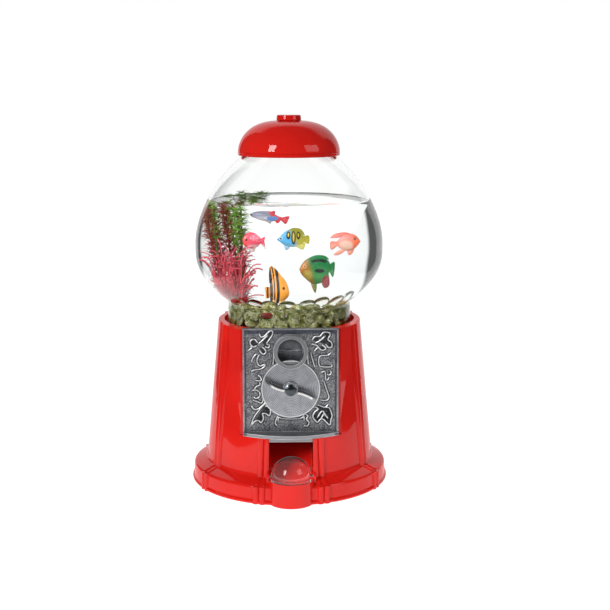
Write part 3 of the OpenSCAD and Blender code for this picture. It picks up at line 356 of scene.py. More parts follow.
def soft_box(name, place, size, watts):
    """A lamp that looks at the middle of the machine."""
    light = bpy.data.lights.new(name, "AREA")
    light.shape, light.size, light.size_y = "RECTANGLE", size[0], size[1]
    light.energy = watts
    lamp = bpy.data.objects.new(name, light)
    lamp.location = place
    lamp.rotation_euler = (Vector(AIM) - Vector(place)).to_track_quat("-Z", "Y").to_euler()
    lamp.visible_transmission = False
    bpy.context.scene.collection.objects.link(lamp)


soft_box("key", (-1.0, -1.15, 0.95), (0.42, 0.80), 18)
soft_box("fill", (1.25, -0.90, 0.90), (0.9, 0.8), 6.2)
print("two soft boxes hung")

# %% [markdown]
# Red enamel is thick gloss paint, sprayed on a casting and baked. Under a clear coat the colour is
# nearly flat, with a slow change of depth, a faint orange-peel bump and the odd rubbed patch.
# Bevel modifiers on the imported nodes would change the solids, so a Bevel node rounds their edges
# for the light alone.

# %% Red enamel
def red_enamel(name):
    enamel = Finish(name, Specular_IOR_Level=0.0, Coat_Weight=0.6, Coat_Roughness=0.04)
    place = enamel.place()
    depth = enamel.noise(place, 60, 3)
    enamel.set("Base Color", enamel.mix(depth.step(0.3, 0.75), (0.72, 0.012, 0.008),
                                        (0.84, 0.018, 0.012)))
    enamel.set("Roughness", 0.16 + 0.12 * enamel.noise(place, 9, 4).step(0.45, 0.8))
    peel = enamel.noise(place, 1.6, 1)
    enamel.set("Normal", enamel.bump(peel, 0.012, enamel.soft_edges(0.9)))
    return enamel


ENAMELLED = ["base_casting", "hopper_plate", "chute_ramp", "lid", "lid_knob"]
paint(ENAMELLED, red_enamel("red_enamel"))
print("enamel on", len(ENAMELLED), "nodes")

# %% [markdown]
# The coin plate is a soft-metal casting, stippled by the mould and then blackened and rubbed, so
# that its raised parts are bright and its ground stays dark. A painted mask would need a map of
# the plate. Height above the ground is simply distance along Y, and a Bevel node finds the edges
# for a painted highlight, so both masks come from the shape itself. The housing behind is the
# same metal left plain.

# %% Cast pewter
PLATE_GROUND, BORDER_X, BORDER_Z = 68.5, 43.6, 166.5


def cast_pewter(name, ground_y, contrast=1.0):
    pewter = Finish(name, Metallic=0.85)
    place = pewter.place()
    x, y, z = pewter.axes(place)
    raised = (y * -1).step(ground_y + 0.15, ground_y + 0.6)
    stipple = pewter.noise(place, 1.3, 3, 0.6)
    stain = pewter.noise(place, 14, 3)
    dark = pewter.mix(stain.step(0.35, 0.7), (0.10, 0.105, 0.12), (0.19, 0.195, 0.21))
    ground = pewter.mix(stipple.step(0.42, 0.66) * contrast, dark, (0.40, 0.405, 0.42))
    body = pewter.mix(raised, ground, (0.30, 0.305, 0.32))
    border = x.size().step(BORDER_X, BORDER_X + 1.6) + z.step(BORDER_Z, BORDER_Z + 1.5)
    body = pewter.mix(border.step(0, 1) * stain.step(0.2, 0.5) * 0.8, body, (0.05, 0.058, 0.085))
    # Painted highlight along the edges of the casting, a little uneven.
    edges = pewter.edge_highlight(1.1, 0.01, 0.10) * (0.6 + 0.4 * stain.step(0.4, 0.6))
    pewter.set("Base Color", pewter.mix(edges, body, (0.85, 0.855, 0.87)))
    pewter.set("Roughness", 0.5 - 0.15 * raised)
    pewter.set("Normal", pewter.bump(stipple * (1 - 0.8 * raised), 0.22, pewter.soft_edges(0.25)))
    return pewter


HOUSING = ["mechanism_housing", "wheel_drum", "coin_wheel"]
paint(["coin_plate"], cast_pewter("plate_pewter", PLATE_GROUND))
paint(HOUSING, cast_pewter("housing_pewter", 90, 0.25))
print("pewter on the plate and on", len(HOUSING), "nodes behind it")

# %% [markdown]
# The disc is turned on a lathe, which leaves fine rings, and then knurled across them. Cut in the
# mesh, the rings would take a million faces. A sine of the distance from the axis and a weaker
# one of the angle round it give the same look. The wing's crest gets a painted highlight and its
# root a painted shade, so its colour follows the height above the disc.

# %% Turned metal
DISC_FACE, DISC_R = 71.0, span("turn_handle", "X")[1]


def turned_metal(name, colour, pitch, depth=0.02, rough=0.3):
    metal = Finish(name, colour, Metallic=1.0)
    place = metal.place((0, 0, SHAFT_Z))
    x, y, z = metal.axes(place)
    radius = (x * x + z * z) ** 0.5
    turns = z.maths("ARCTAN2", z, x)
    rings = (radius * (2 * math.pi / pitch)).wave() + (turns * 72).wave() * 0.35
    worn = metal.noise(place, 6, 3)
    metal.set("Roughness", rough + 0.15 * worn.step(0.4, 0.7))
    body = metal.mix(worn.step(0.3, 0.7), colour, [c * 0.8 for c in colour])
    grooves = metal.mix(rings.step(-0.2, 0.6) * 0.7, body, [c * 0.35 for c in colour])
    out = y * -1
    # Painted shade at the root of the wing, where it rises from the disc.
    root = metal.mix(out.step(DISC_FACE + 0.5, DISC_FACE + 5), grooves, [c * 0.55 for c in colour])
    # Painted highlight along the crest of the wing.
    crest_highlight = metal.mix(out.step(DISC_FACE + 8.5, DISC_FACE + 11), root, (0.97, 0.96, 0.94))
    rim = metal.mix(radius.step(DISC_R - 1.3, DISC_R - 0.7) * 0.7, crest_highlight, (0.92, 0.92, 0.93))
    # Painted highlight along the edges, twice as light as the metal.
    metal.set("Base Color", metal.mix(metal.edge_highlight(0.8, 0.02, 0.15), rim,
                                      [min(1, c * 2) for c in colour]))
    metal.set("Normal", metal.bump(rings, depth, metal.soft_edges(0.2)))
    return metal


paint(["turn_handle"], turned_metal("turned_disc", (0.54, 0.55, 0.59), 1.6))
paint(["hub_cap"], turned_metal("dark_cap", (0.15, 0.17, 0.185), 3.0, 0.004, 0.25))
print("disc radius:", DISC_R)

# %% [markdown]
# Screws, pins, the shaft and the ratchet are plated steel. They are small and mostly hidden, so
# one finish with a slow streak in its polish does for all of them.

# %% Plated steel
def plated_steel(name):
    steel = Finish(name, Metallic=1.0)
    streak = steel.noise(steel.place(), 2.5, 4)
    steel.set("Roughness", 0.22 + 0.2 * streak.step(0.4, 0.7))
    steel.set("Base Color", steel.mix(streak.step(0.35, 0.75), (0.6, 0.6, 0.62),
                                      (0.42, 0.42, 0.43)))
    steel.set("Normal", steel.bump(streak, 0.01, steel.soft_edges(0.15)))
    return steel


STEEL_NODES = ["hopper_screws", "plate_screws", "mechanism_screws", "chute_rivets", "flap_pins",
               "bottom_screws", "pawl_pin", "pawl_spring", "pawl", "handle_shaft",
               "ratchet_wheel", "shaft_washer", "shaft_nut", "knob_screw"]
paint(STEEL_NODES, plated_steel("plated_steel"))
print("steel on", len(STEEL_NODES), "nodes")

# %% [markdown]
# The gum wheel is nylon, the bottom a black sheet, the plug and the ring under the globe rubber.
# All of them came dull and finely grained out of a mould or a press, so they differ only in
# colour, polish and the size of the grain.

# %% Plastic and rubber
def moulded(name, colour, rough, grain, depth):
    plastic = Finish(name, colour)
    speck = plastic.noise(plastic.place(), grain, 3)
    plastic.set("Roughness", rough + 0.15 * speck)
    plastic.set("Base Color", plastic.mix(speck.step(0.3, 0.8), colour, [c * 0.8 for c in colour]))
    plastic.set("Normal", plastic.bump(speck, depth, plastic.soft_edges(0.25)))
    return plastic


paint(["gum_wheel"], moulded("white_nylon", (0.82, 0.82, 0.76), 0.4, 0.8, 0.03))
paint(["bottom_plate"], moulded("black_sheet", (0.03, 0.03, 0.032), 0.45, 1.2, 0.05))
paint(["bank_plug"], moulded("black_rubber", (0.025, 0.025, 0.025), 0.65, 0.7, 0.06))
paint(["globe_gasket"], moulded("milky_rubber", (0.72, 0.72, 0.69), 0.45, 0.8, 0.04))
print("hard nodes painted")

# %% [markdown]
# Clear things let light through to what they hold. True caustics would take thousands of samples,
# and without them the fish would lie in shadow. So a Mix Shader swaps the glass for a plain
# transparent shader wherever a shadow ray asks. The hinged flap wears the plastic one.

# %% Clear finishes
def clear(name, colour, ior, rough=0.0, through=1.0, glare=0.1):
    """Little glare keeps the lamps off the front of the bowl, and it still bends light as glass."""
    glass = Finish(name, colour, Transmission_Weight=through, IOR=ior, Roughness=rough)
    glass.set("Specular Tint", (glare, glare, glare))
    open_air = glass.node("ShaderNodeBsdfTransparent", {}, {"Color": (1, 1, 1)})
    is_shadow = glass.node("ShaderNodeLightPath", {}, {}, "Is Shadow Ray")
    mixed = glass.node("ShaderNodeMixShader", {},
                       {0: is_shadow, 1: Wire(glass, glass.surface.outputs[0]), 2: open_air})
    glass.plug(glass.output.inputs["Surface"], mixed)
    return glass


blown_glass = clear("blown_glass", (0.985, 0.995, 0.99), 1.5)
clean_water = clear("clean_water", (0.985, 0.995, 1.0), 1.333)
clear_plastic = clear("clear_plastic", (0.97, 0.96, 0.965), 1.46, 0.02, 0.985, 1.0)
paint(["chute_flap"], clear_plastic)
print("clear finishes mixed")

# %% [markdown]
# The new pieces are modelled in millimetres, as the machine was measured, and brought to metres
# when they are finished. Scaling the objects instead would leave a scale on them, which other
# users of the pieces would trip over.

# %% Finished pieces
def finished(name, shape):
    """A bmesh in millimetres made into a smooth, linked object at the origin."""
    bmesh.ops.scale(shape, vec=(MM, MM, MM), verts=shape.verts)
    mesh = bpy.data.meshes.new(name)
    shape.to_mesh(mesh)
    shape.free()
    mesh.polygons.foreach_set("use_smooth", [True] * len(mesh.polygons))
    piece = bpy.data.objects.new(name, mesh)
    bpy.context.scene.collection.objects.link(piece)
    return piece


def dress(piece, finish, body, slot, *nodes):
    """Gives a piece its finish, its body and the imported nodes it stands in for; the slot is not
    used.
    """
    piece.data.materials.append(finish.material)
    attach(piece, body)
    if nodes:
        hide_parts(*nodes)
    print(piece.name, len(piece.data.polygons), "faces")


print("pieces are finished at a scale of", MM)

# %% [markdown]
# The pieces could be sculpted one by one, but nearly all are one of two kinds. Round ones are a
# line spun about an axis. Long ones are a flat profile extruded from place to place, and that
# makes leaves, stems, fish and the raised lines on the plate. Small parts that come in hundreds
# are made in a bmesh of their own and poured into a common one, because the operators slow down
# as a mesh grows.

# %% Spun and drawn pieces
scratch = bpy.data.meshes.new("scratch")


def spun(name, line, steps=128, centre=(0, 0)):
    """A line of (radius, height) points, spun round an upright axis."""
    shape = bmesh.new()
    points = [shape.verts.new((centre[0] + r, centre[1], z)) for r, z in line]
    edges = [shape.edges.new(pair) for pair in zip(points, points[1:])]
    bmesh.ops.spin(shape, geom=points + edges, cent=(*centre, 0), axis=(0, 0, 1), dvec=(0, 0, 0),
                   angle=2 * math.pi, steps=steps, use_merge=True)
    bmesh.ops.remove_doubles(shape, verts=shape.verts, dist=0.002)
    bmesh.ops.recalc_face_normals(shape, faces=shape.faces)
    return finished(name, shape)


def section(across, up, along, at):
    """The place of a flat profile: where its X, its Y and its face point, and its origin."""
    return Matrix([(*across, 0), (*up, 0), (*along, 0), (*at, 1)]).transposed()


def drawn(profile, places):
    """A closed profile extruded from place to place and closed at both ends."""
    part = bmesh.new()
    end = part.faces.new([part.verts.new(places[0] @ Vector((x, y, 0))) for x, y in profile])
    for step, (before, after) in enumerate(zip(places, places[1:])):
        made = bmesh.ops.extrude_face_region(part, geom=[end])["geom"]
        if step:
            part.faces.remove(end)
        end = next(item for item in made if isinstance(item, bmesh.types.BMFace))
        bmesh.ops.transform(part, matrix=after @ before.inverted(), verts=end.verts)
    bmesh.ops.remove_doubles(part, verts=part.verts, dist=1e-4)
    bmesh.ops.recalc_face_normals(part, faces=part.faces)
    return part


def circle(count):
    """A profile of so many points, one unit from the middle."""
    turns = [2 * math.pi * k / count for k in range(count)]
    return [(math.cos(turn), math.sin(turn)) for turn in turns]


def pour(part, whole):
    """Adds a part to a common bmesh."""
    part.to_mesh(scratch)
    part.free()
    whole.from_mesh(scratch)


print("circles have", len(circle(5)), "to", len(circle(24)), "points")

# %% [markdown]
# The globe is blown into a mould with a thick wall and a ground lip. It could be a ball with a
# Solidify modifier, but its foot, neck and lip all have forms of their own. So it is one closed
# line, spun: up the outside, over the lip and down the inside. The outside follows two smooth
# power curves, which meet at the belly, and the inside is the same line moved in by the wall.

# %% Globe
def inwards(line, wall):
    """The same line moved square to itself, towards the axis side."""
    moved = []
    for i, (r, z) in enumerate(line):
        before, after = line[max(i - 1, 0)], line[min(i + 1, len(line) - 1)]
        dr, dz = after[0] - before[0], after[1] - before[1]
        length = math.hypot(dr, dz)
        moved.append((r - wall * dz / length, z + wall * dr / length))
    return moved


def arc(r, z, radius, start, end, count):
    """Points round (r, z), from one angle to another."""
    turns = [math.radians(start + (end - start) * i / count) for i in range(count + 1)]
    return [(r + radius * math.cos(turn), z + radius * math.sin(turn)) for turn in turns]


NECK_R, GLASS_T, MOUTH_R = 64.1, 3.0, 44.5
BELLY_TOP, BELLY_LOW, CROWN_H, SKIRT_FALL = 252.2, 243.9, 107.984, 77.137
SHOULDER_Z = MOUTH_Z - 8


def globe_radius(z):
    """The outside of the globe: crown, belly, skirt and neck."""
    if z >= BELLY_TOP:
        return GLOBE_R * (1 - ((z - BELLY_TOP) / CROWN_H) ** 1.692) ** (1 / 1.713)
    if z >= BELLY_LOW:
        return GLOBE_R
    return max(NECK_R, GLOBE_R * math.exp(-((BELLY_LOW - z) / SKIRT_FALL) ** 2.432))


side = arc(NECK_R - 4, GLOBE_Z + 4, 4, -90, 0, 6)
side += [(NECK_R, GLOBE_Z + h) for h in (8, 14, 20)]
NECK_TOP, BITS = GLOBE_Z + 25.1, 40
heights = [NECK_TOP + (BELLY_LOW - NECK_TOP) * i / BITS for i in range(BITS + 1)]
heights += [BELLY_TOP + (SHOULDER_Z - BELLY_TOP) * math.sin(math.pi / 2 * i / BITS)
            for i in range(BITS + 1)]
side += [(globe_radius(z), z) for z in heights]
lining = inwards(side, GLASS_T)
lip = [(MOUTH_R + 0.6, SHOULDER_Z + 1.2), (MOUTH_R, SHOULDER_Z + 2.6)]
lip += [(MOUTH_R, MOUTH_Z - 1.5)] + arc(MOUTH_R - 1.4, MOUTH_Z - 1.4, 1.4, 0, 180, 8)
lip += [(MOUTH_R - GLASS_T, SHOULDER_Z + 1.5)]
outline = [(0, GLOBE_Z)] + side + lip + lining[::-1] + [(0, GLOBE_Z + GLASS_T)]
dress(spun("glass_globe", outline), blown_glass, "globe", "glass", "globe")

# %% [markdown]
# Water and glass touch with no air between them. A gap would shine like a mirror, so the water
# reaches a hair into the glass, and a ray bends as it would on going from one to the other. It is
# spun from the lining of the globe. Its surface creeps up the wall by a millimetre, which gives
# the dark line round it.

# %% Water
wet = [(r + 0.1, z) for r, z in lining if z < WATER_Z - 0.4 and z > GLOBE_Z + GLASS_T + 0.3]
wall_r = wet[-1][0] - 0.35
creep = [(wall_r + 0.35, WATER_Z), (wall_r - 0.3, WATER_Z - 0.25), (wall_r - 1.2, WATER_Z - 0.7),
         (wall_r - 2.6, WATER_Z - 1.0), (wall_r - 6, WATER_Z - 1.1), (0, WATER_Z - 1.1)]
under = GLOBE_Z + GLASS_T - 0.1
dress(spun("bowl_water", [(0, under), (wet[0][0] - 3, under)] + wet + creep),
      clean_water, "globe", "water", "water")

# %% [markdown]
# The bed is glass gems: drops of glass that were let fall on a plate, domed above and nearly flat
# below. Those that can be seen lie against the neck, leaning each its own way, and in one layer
# on top. The ones behind them would only cost light. A rigid-body drop would pile them as well,
# but it would have to be baked, and its result couldn't be set. Each gem is a ball from the
# operator, pressed to that form and laid in its place.

# %% Gem helper
DOME, FLAT = 0.62, 0.38


def gem(shape, centre, width, depth, height, tilt, rings=8, sides=18):
    """A ball made fuller at its girth, domed above and flatter below."""
    stone = bmesh.new()
    bmesh.ops.create_uvsphere(stone, u_segments=sides, v_segments=rings, radius=1,
                              matrix=Matrix.Rotation(math.pi / 2, 4, "Z"))
    for vertex in stone.verts:
        up = vertex.co.z
        level = vertex.co.xy.normalized() * max(0, 1 - abs(up) ** 2.6) ** 0.5 / 2
        vertex.co = (level.x, level.y, up * (DOME if up > 0 else FLAT))
    place = Matrix.Translation(centre) @ tilt @ Matrix.Diagonal((width, depth, height, 1))
    bmesh.ops.transform(stone, matrix=place, verts=stone.verts)
    pour(stone, shape)


def tilted(across, along, spin):
    """Leaning both ways first and then spun, all in radians."""
    return (Matrix.Rotation(spin, 4, "Z") @ Matrix.Rotation(across, 4, "X")
            @ Matrix.Rotation(along, 4, "Y"))


print("gems stand", DOME, "up and", FLAT, "down of their height")

# %% [markdown]
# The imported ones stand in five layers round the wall, each turned half a gem against the last,
# and over the middle in the rows of a honeycomb, which is how such stones settle. The plants'
# foot is kept free. A fixed seed gives the same pile each time.

# %% Packed gems
FLOOR_Z, NECK_IN = GLOBE_Z + GLASS_T, NECK_R - GLASS_T
LAYERS, AROUND, LAYER_H = 5, 22, 5.4
ROW, GAP = 11.6, 13.4
dice = random.Random(7)
packed = bmesh.new()
count = 0
for layer in range(LAYERS):
    for i in range(AROUND):
        angle = (i + layer / 2 + dice.uniform(-0.25, 0.25)) * 2 * math.pi / AROUND
        lean = dice.uniform(0.35, 1.35)
        inset = 8.3 * math.cos(lean) + 3.2 * math.sin(lean) + 0.5
        at = (NECK_IN - inset) * Vector((math.cos(angle), math.sin(angle), 0))
        at.z = FLOOR_Z + 6.5 + layer * LAYER_H + dice.uniform(-1.5, 1.5)
        depth, height = dice.uniform(13, 16), dice.uniform(5.5, 7)
        roll = Matrix.Rotation(dice.uniform(-1.2, 1.2), 4, "X")
        facing = Matrix.Rotation(angle, 4, "Z")
        gem(packed, at, 16, depth, height, facing @ roll @ Matrix.Rotation(lean, 4, "Y"))
        count += 1
for i in range(-4, 5):
    for j in range(-4, 5):
        x, y = (i + j / 2) * GAP + dice.uniform(-2, 2), j * ROW + dice.uniform(-2, 2)
        on_foot = math.hypot(x - FOOT[0], y - FOOT[1]) <= FOOT_R + 5
        if math.hypot(x, y) < NECK_IN - 14 and not on_foot:
            at = (x, y, BED_Z - 3.5 + dice.uniform(-1, 1))
            depth = dice.uniform(13, 16)
            lie = tilted(dice.uniform(-0.3, 0.3), dice.uniform(-0.3, 0.3), dice.uniform(0, 6.3))
            gem(packed, at, 17, depth, 7, lie)
            count += 1
print("gems in the neck:", count)

# %% [markdown]
# Their glass is greenish, some of it olive. A slow noise paints the light that a pile of gems bends:
# a pale line where the noise passes its middle value, as a painted highlight, and painted shade in
# the glass on its lower side. The ratio of bending is that of glass in water, or a little above, so
# the gems glow but don't glare.

# %% Gem glass
green_glass = Finish("green_gem_glass", Roughness=0.03, IOR=1.16, Transmission_Weight=0.8)
swirl = green_glass.noise(green_glass.place(), 6.5, 2, 0.5)
patch = green_glass.noise(green_glass.place((40, 9, 3)), 15, 3)
olive = green_glass.mix(patch.step(0.35, 0.65), (0.56, 0.58, 0.20), (0.84, 0.84, 0.50))
# Painted shade: the glass is darker on the low side of the swirl.
tint = green_glass.mix(swirl.step(0.40, 0.60), (0.36, 0.38, 0.11), olive)
# Painted highlight: a pale line where the swirl passes its middle value.
line = 1 - (swirl - 0.5).size().step(0.008, 0.035)
green_glass.set("Base Color", green_glass.mix(line, tint, (0.97, 0.97, 0.80)))
green_glass.set("Normal", green_glass.bump(swirl, 0.15))
dress(finished("neck_gems", packed), green_glass, "globe", "pebbles", "pebbles")

# %% [markdown]
# The last gems lie loose round the edge, leaning on the glass, and are quite clear. They are seen
# one by one, so they are listed one by one, by angle, radius, height over the bed and lean, and
# have more sides. In water glass bends light only a little, so they get less than glass in air.

# %% Loose gems
loose = bmesh.new()
for angle, radius, lift, lean in ((-152, 53, 4, 0.75), (-128, 50, 3.5, 0.35), (-111, 52, 2.5, 0.3),
                                  (-93, 49, 3, 0.25), (-72, 51, 3.5, 0.35), (-56, 50, 6, 0.5),
                                  (-62, 40, 2, 0.1), (-38, 53, 6, 0.6), (-24, 56, 9, 0.9),
                                  (-5, 52, 5, 0.5), (20, 50, 3, 0.4), (48, 51, 3, 0.4),
                                  (75, 50, 3, 0.3), (103, 51, 4, 0.4), (128, 50, 3, 0.4),
                                  (-100, 36, 1, 0.1), (-135, 38, 1, 0.1), (30, 34, 1, 0.1)):
    a = math.radians(angle)
    gem(loose, (radius * math.cos(a), radius * math.sin(a), BED_Z + lift), 19, 16, 8,
        Matrix.Rotation(a, 4, "Z") @ Matrix.Rotation(-lean, 4, "Y"), 12, 28)
clear_gem = clear("clear_gem", (0.96, 0.97, 0.93), 1.2)
dress(finished("loose_gems", loose), clear_gem, "globe", "pebbles")

# %% [markdown]
# One flat red-brown pebble lies among the green ones at the front. It is a gem of other measures
# in an opaque, polished stone.

# %% Brown pebble
red_pebble = bmesh.new()
gem(red_pebble, (-23, -54.5, FLOOR_Z + 15.5), 15, 7, 5.5, tilted(0.9, 0.05, 0.35), 10, 24)
brown = Finish("red_brown_pebble", Roughness=0.2, Coat_Weight=0.6)
brown_grain = brown.noise(brown.place(), 1.8, 5)
brown.set("Base Color", brown.mix(brown_grain.step(0.3, 0.7), (0.10, 0.012, 0.010),
                                  (0.30, 0.05, 0.03)))
brown.set("Normal", brown.bump(brown_grain, 0.1))
dress(finished("brown_pebble", red_pebble), brown, "globe", "pebbles")

# %% [markdown]
# The water plants are soft plastic: stems with whorls of narrow leaves. Flat cards with cut-out
# leaves would do from afar, but look like paper through glass. A leaf here is a three-sided
# profile drawn along a curve, tapering to its tip. Three sides are enough for light to fall on
# it from above and below, and thousands of leaves stay a light mesh.

# %% Leaf and stem
UP = Vector((0, 0, 1))
LEAF_PLACES = (0, 0.25, 0.5, 0.75, 1)


def leaf(shape, root, out, length, width, rise, droop):
    """A narrow leaf from root, going out on the level while it rises and droops."""
    side = UP.cross(out)
    places = []
    for t in LEAF_PLACES:
        at = root + length * (out * t + UP * (rise * t - droop * t * t))
        half = width / 2 * (1 - t) ** 0.5 * min(1, 0.45 + 2.2 * t)
        places.append(section(side * half, UP * half, out, at))
    pour(drawn(((1, 0), (-1, 0), (0, 0.7)), places), shape)


def bent(start, middle, end, count):
    """Points of a curve from start to end that leans towards middle."""
    steps = [i / count for i in range(count + 1)]
    return [start * (1 - t) ** 2 + middle * 2 * t * (1 - t) + end * t * t for t in steps]


def stem(shape, points, radius):
    """A five-sided stem along a curve."""
    places = []
    for before, at, after in zip(points[:1] + points, points, points[1:] + points[-1:]):
        along = (after - before).normalized()
        side = along.orthogonal().normalized()
        places.append(section(side * radius, along.cross(side) * radius, along, at))
    pour(drawn(circle(5), places), shape)


def planted(shape, start, middle, end):
    """A stem out of the plants' foot, through three places measured from its middle."""
    foot = Vector((*FOOT, BED_Z))
    path = bent(foot + Vector((*start, -4)), foot + Vector(middle), foot + Vector(end), 12)
    stem(shape, path, 0.8)
    return path


print("a leaf is drawn through", len(LEAF_PLACES), "places")

# %% [markdown]
# The leaves stand in rings round the stem, as on hornwort, each ring turned a little on the last.
# They are not all of one length: some rings have been squashed in the packet. The finish runs
# from one colour to another with height, and is a little translucent, as thin plastic is.

# %% Whorls and soft plastic
def whorls(shape, points, spacing, leaves, length, rise, dice, first=0.12):
    """Rings of leaves along a stem, from the given part of its length upwards."""
    run = [0.0]
    for a, b in zip(points, points[1:]):
        run.append(run[-1] + (b - a).length)
    at = run[-1] * first
    turn = 0.0
    while at <= run[-1]:
        tuft = dice.choice((0.7, 0.9, 1.0, 1.15))
        i = max(k for k in range(len(run) - 1) if run[k] <= at)
        p = points[i].lerp(points[i + 1], (at - run[i]) / (run[i + 1] - run[i]))
        turn += 0.5
        for k in range(leaves):
            a = turn + k * 2 * math.pi / leaves + dice.uniform(-0.12, 0.12)
            out = Vector((math.cos(a), math.sin(a), 0))
            leaf(shape, p, out, length * tuft * dice.uniform(0.7, 1.1), 1.2,
                 rise + dice.uniform(-0.45, 0.35), dice.uniform(0.1, 0.6))
        at += spacing * dice.uniform(0.85, 1.1)


def soft_plastic(name, low, high, bottom, top):
    """A plant's colour, from low at one height to high at another, in millimetres."""
    plastic = Finish(name, Roughness=0.42, Subsurface_Weight=0.15)
    plastic.set("Subsurface Radius", (0.002, 0.001, 0.001))
    place = plastic.place()
    grain = plastic.noise(place, 5, 3)
    height = (plastic.axes(place)[2] + (grain - 0.5) * 40).step(bottom, top)
    light = plastic.mix(height, low, high)
    dark = plastic.mix(height, [c * 0.5 for c in low], [c * 0.55 for c in high])
    plastic.set("Base Color", plastic.mix(grain.step(0.25, 0.8), light, dark))
    plastic.set("Roughness", 0.35 + 0.25 * grain)
    plastic.set("Normal", plastic.bump(plastic.noise(place, 0.7, 2), 0.05))
    return plastic


print("plant kit ready, rooted at", FOOT)

# %% [markdown]
# The red plants are the thickest: seven stems that lean to the left and end under the surface,
# ringed with leaves from the foot up. The colour goes from burgundy to a browner red with height,
# moved up and down by a noise so that no line shows.

# %% Red plants
dice = random.Random(21)
red_bush = bmesh.new()
for start, middle, end, leaves, reach in (
        ((-9, 0), (-14, -2, 50), (-27, -2, 84), 15, 9.5),
        ((8, 1), (4, 4, 50), (-4, 6, 90), 14, 9.0),
        ((-3, 7), (-10, 16, 48), (-20, 20, 90), 14, 9.5),
        ((3, -4), (-6, -8, 40), (-16, -10, 84), 15, 8.5),
        ((-6, -5), (-22, -8, 48), (-32, -16, 80), 14, 8.5),
        ((-5, 3), (-18, 8, 50), (-30, 12, 88), 14, 9.0),
        ((5, 6), (-2, 14, 60), (-10, 16, 92), 13, 9.0)):
    whorls(red_bush, planted(red_bush, start, middle, end), 3.4, leaves, reach, 0.55, dice)
red_leaves = soft_plastic("burgundy_leaves", (0.42, 0.03, 0.045), (0.30, 0.045, 0.02), 215, 275)
dress(finished("bush_red", red_bush), red_leaves, "globe", "plant_red", "plant_red")

# %% [markdown]
# Four green stems stand among the red ones. They carry leaves only in their upper part, so that
# green shows above red, as it does where plants of two heights share one foot.

# %% Green plants
dice = random.Random(5)
green_bush = bmesh.new()
for start, middle, end in (((0, 9), (-6, 14, 60), (-8, 22, 93)),
                           ((2, -7), (0, -8, 40), (-6, -10, 82)),
                           ((-8, -6), (-20, -12, 50), (-26, -6, 92)),
                           ((6, 2), (2, 2, 50), (2, 4, 90))):
    whorls(green_bush, planted(green_bush, start, middle, end), 4.2, 20, 9, 0.5, dice, 0.62)
green_leaves = soft_plastic("green_leaves", (0.20, 0.36, 0.03), (0.30, 0.58, 0.07), 215, 285)
dress(finished("bush_green", green_bush), green_leaves, "globe", "plant_green", "plant_green")

# %% [markdown]
# The tops have reached the surface and lie spread under it, as such stems do in a full bowl. Whole
# whorls are strewn in a patch there, and those that would touch the glass are left out.

# %% Floating tips
TOP_Z, REACH = WATER_Z - 3.0, 72
dice = random.Random(12)
tips = bmesh.new()
for i in range(44):
    x, y = dice.uniform(-70, -24), dice.uniform(2, 46)
    if math.hypot(x, y) > REACH:
        continue
    middle = Vector((x, y, TOP_Z + dice.uniform(-3, 6)))
    for k in range(20):
        a = k * 2 * math.pi / 20 + dice.uniform(-0.2, 0.2)
        leaf(tips, middle, Vector((math.cos(a), math.sin(a), 0)),
             dice.uniform(5, 9), 1.1, dice.uniform(-0.1, 0.6), 0.15)
tip_leaves = soft_plastic("olive_tips", (0.20, 0.10, 0.03), (0.12, 0.22, 0.04), 288, 293)
dress(finished("plant_tips", tips), tip_leaves, "globe", "plant_green")

# %% [markdown]
# A tuft of long pink strands fans out from a point low at the left. Hair curves would be the usual
# way, but they have no faces to export, so each strand is a thin stem. Any that would come near
# the glass is left out.

# %% Long strands
dice = random.Random(33)
strands = bmesh.new()
root = Vector((-54, -4, BED_Z - 2))
for i in range(115):
    a = math.radians(dice.uniform(120, 380))
    reach, tall = dice.uniform(6, 28), dice.uniform(14, 56)
    start = root + Vector((dice.uniform(-4, 16), dice.uniform(-5, 8), 0))
    out = Vector((math.cos(a), math.sin(a), 0))
    path = bent(start, start + out * reach * 0.25 + UP * tall,
                start + out * reach + UP * tall * dice.uniform(0.75, 1.05), 9)
    if all(math.hypot(p.x, p.y) <= globe_radius(p.z) - 7 for p in path):
        stem(strands, path, 0.5)
strand_red = soft_plastic("pink_strands", (0.62, 0.05, 0.06), (0.84, 0.11, 0.15), 200, 240)
dress(finished("grass_strands", strands), strand_red, "globe", "plant_grass", "plant_grass")

# %% [markdown]
# The foot that holds the plants down is a moulded cup, filled with something heavy. Only its rim
# shows between the gems, so a plain spun form with a rounded edge is enough.

# %% Plant foot
foot = spun("plant_weight", [(0, FLOOR_Z + 0.5), (FOOT_R - 1, FLOOR_Z + 0.5),
                             (FOOT_R, FLOOR_Z + 1.5), (FOOT_R - 0.6, FLOOR_Z + 14),
                             (FOOT_R - 2.4, BED_Z - 1.5), (FOOT_R - 4, BED_Z - 0.2), (0, BED_Z)],
            40, FOOT)
dress(foot, soft_plastic("plant_foot", (0.16, 0.012, 0.02), (0.20, 0.02, 0.03), 180, 197),
      "globe", "plant_red", "plant_base")

# %% [markdown]
# A toy fish is a shell of soft plastic, cast in two halves and painted by hand. It could be
# sculpted, but six small fish seen from one side need only their outline to be right. Its back
# and its belly are two lines. A circle drawn along between them, wider or narrower as they ask,
# makes the body, thickest behind the head. The fins are their outlines, extruded in three steps
# and drawn in a little at both faces, so that the edges are round. All of these start from a few
# points, which are joined by a smooth line.

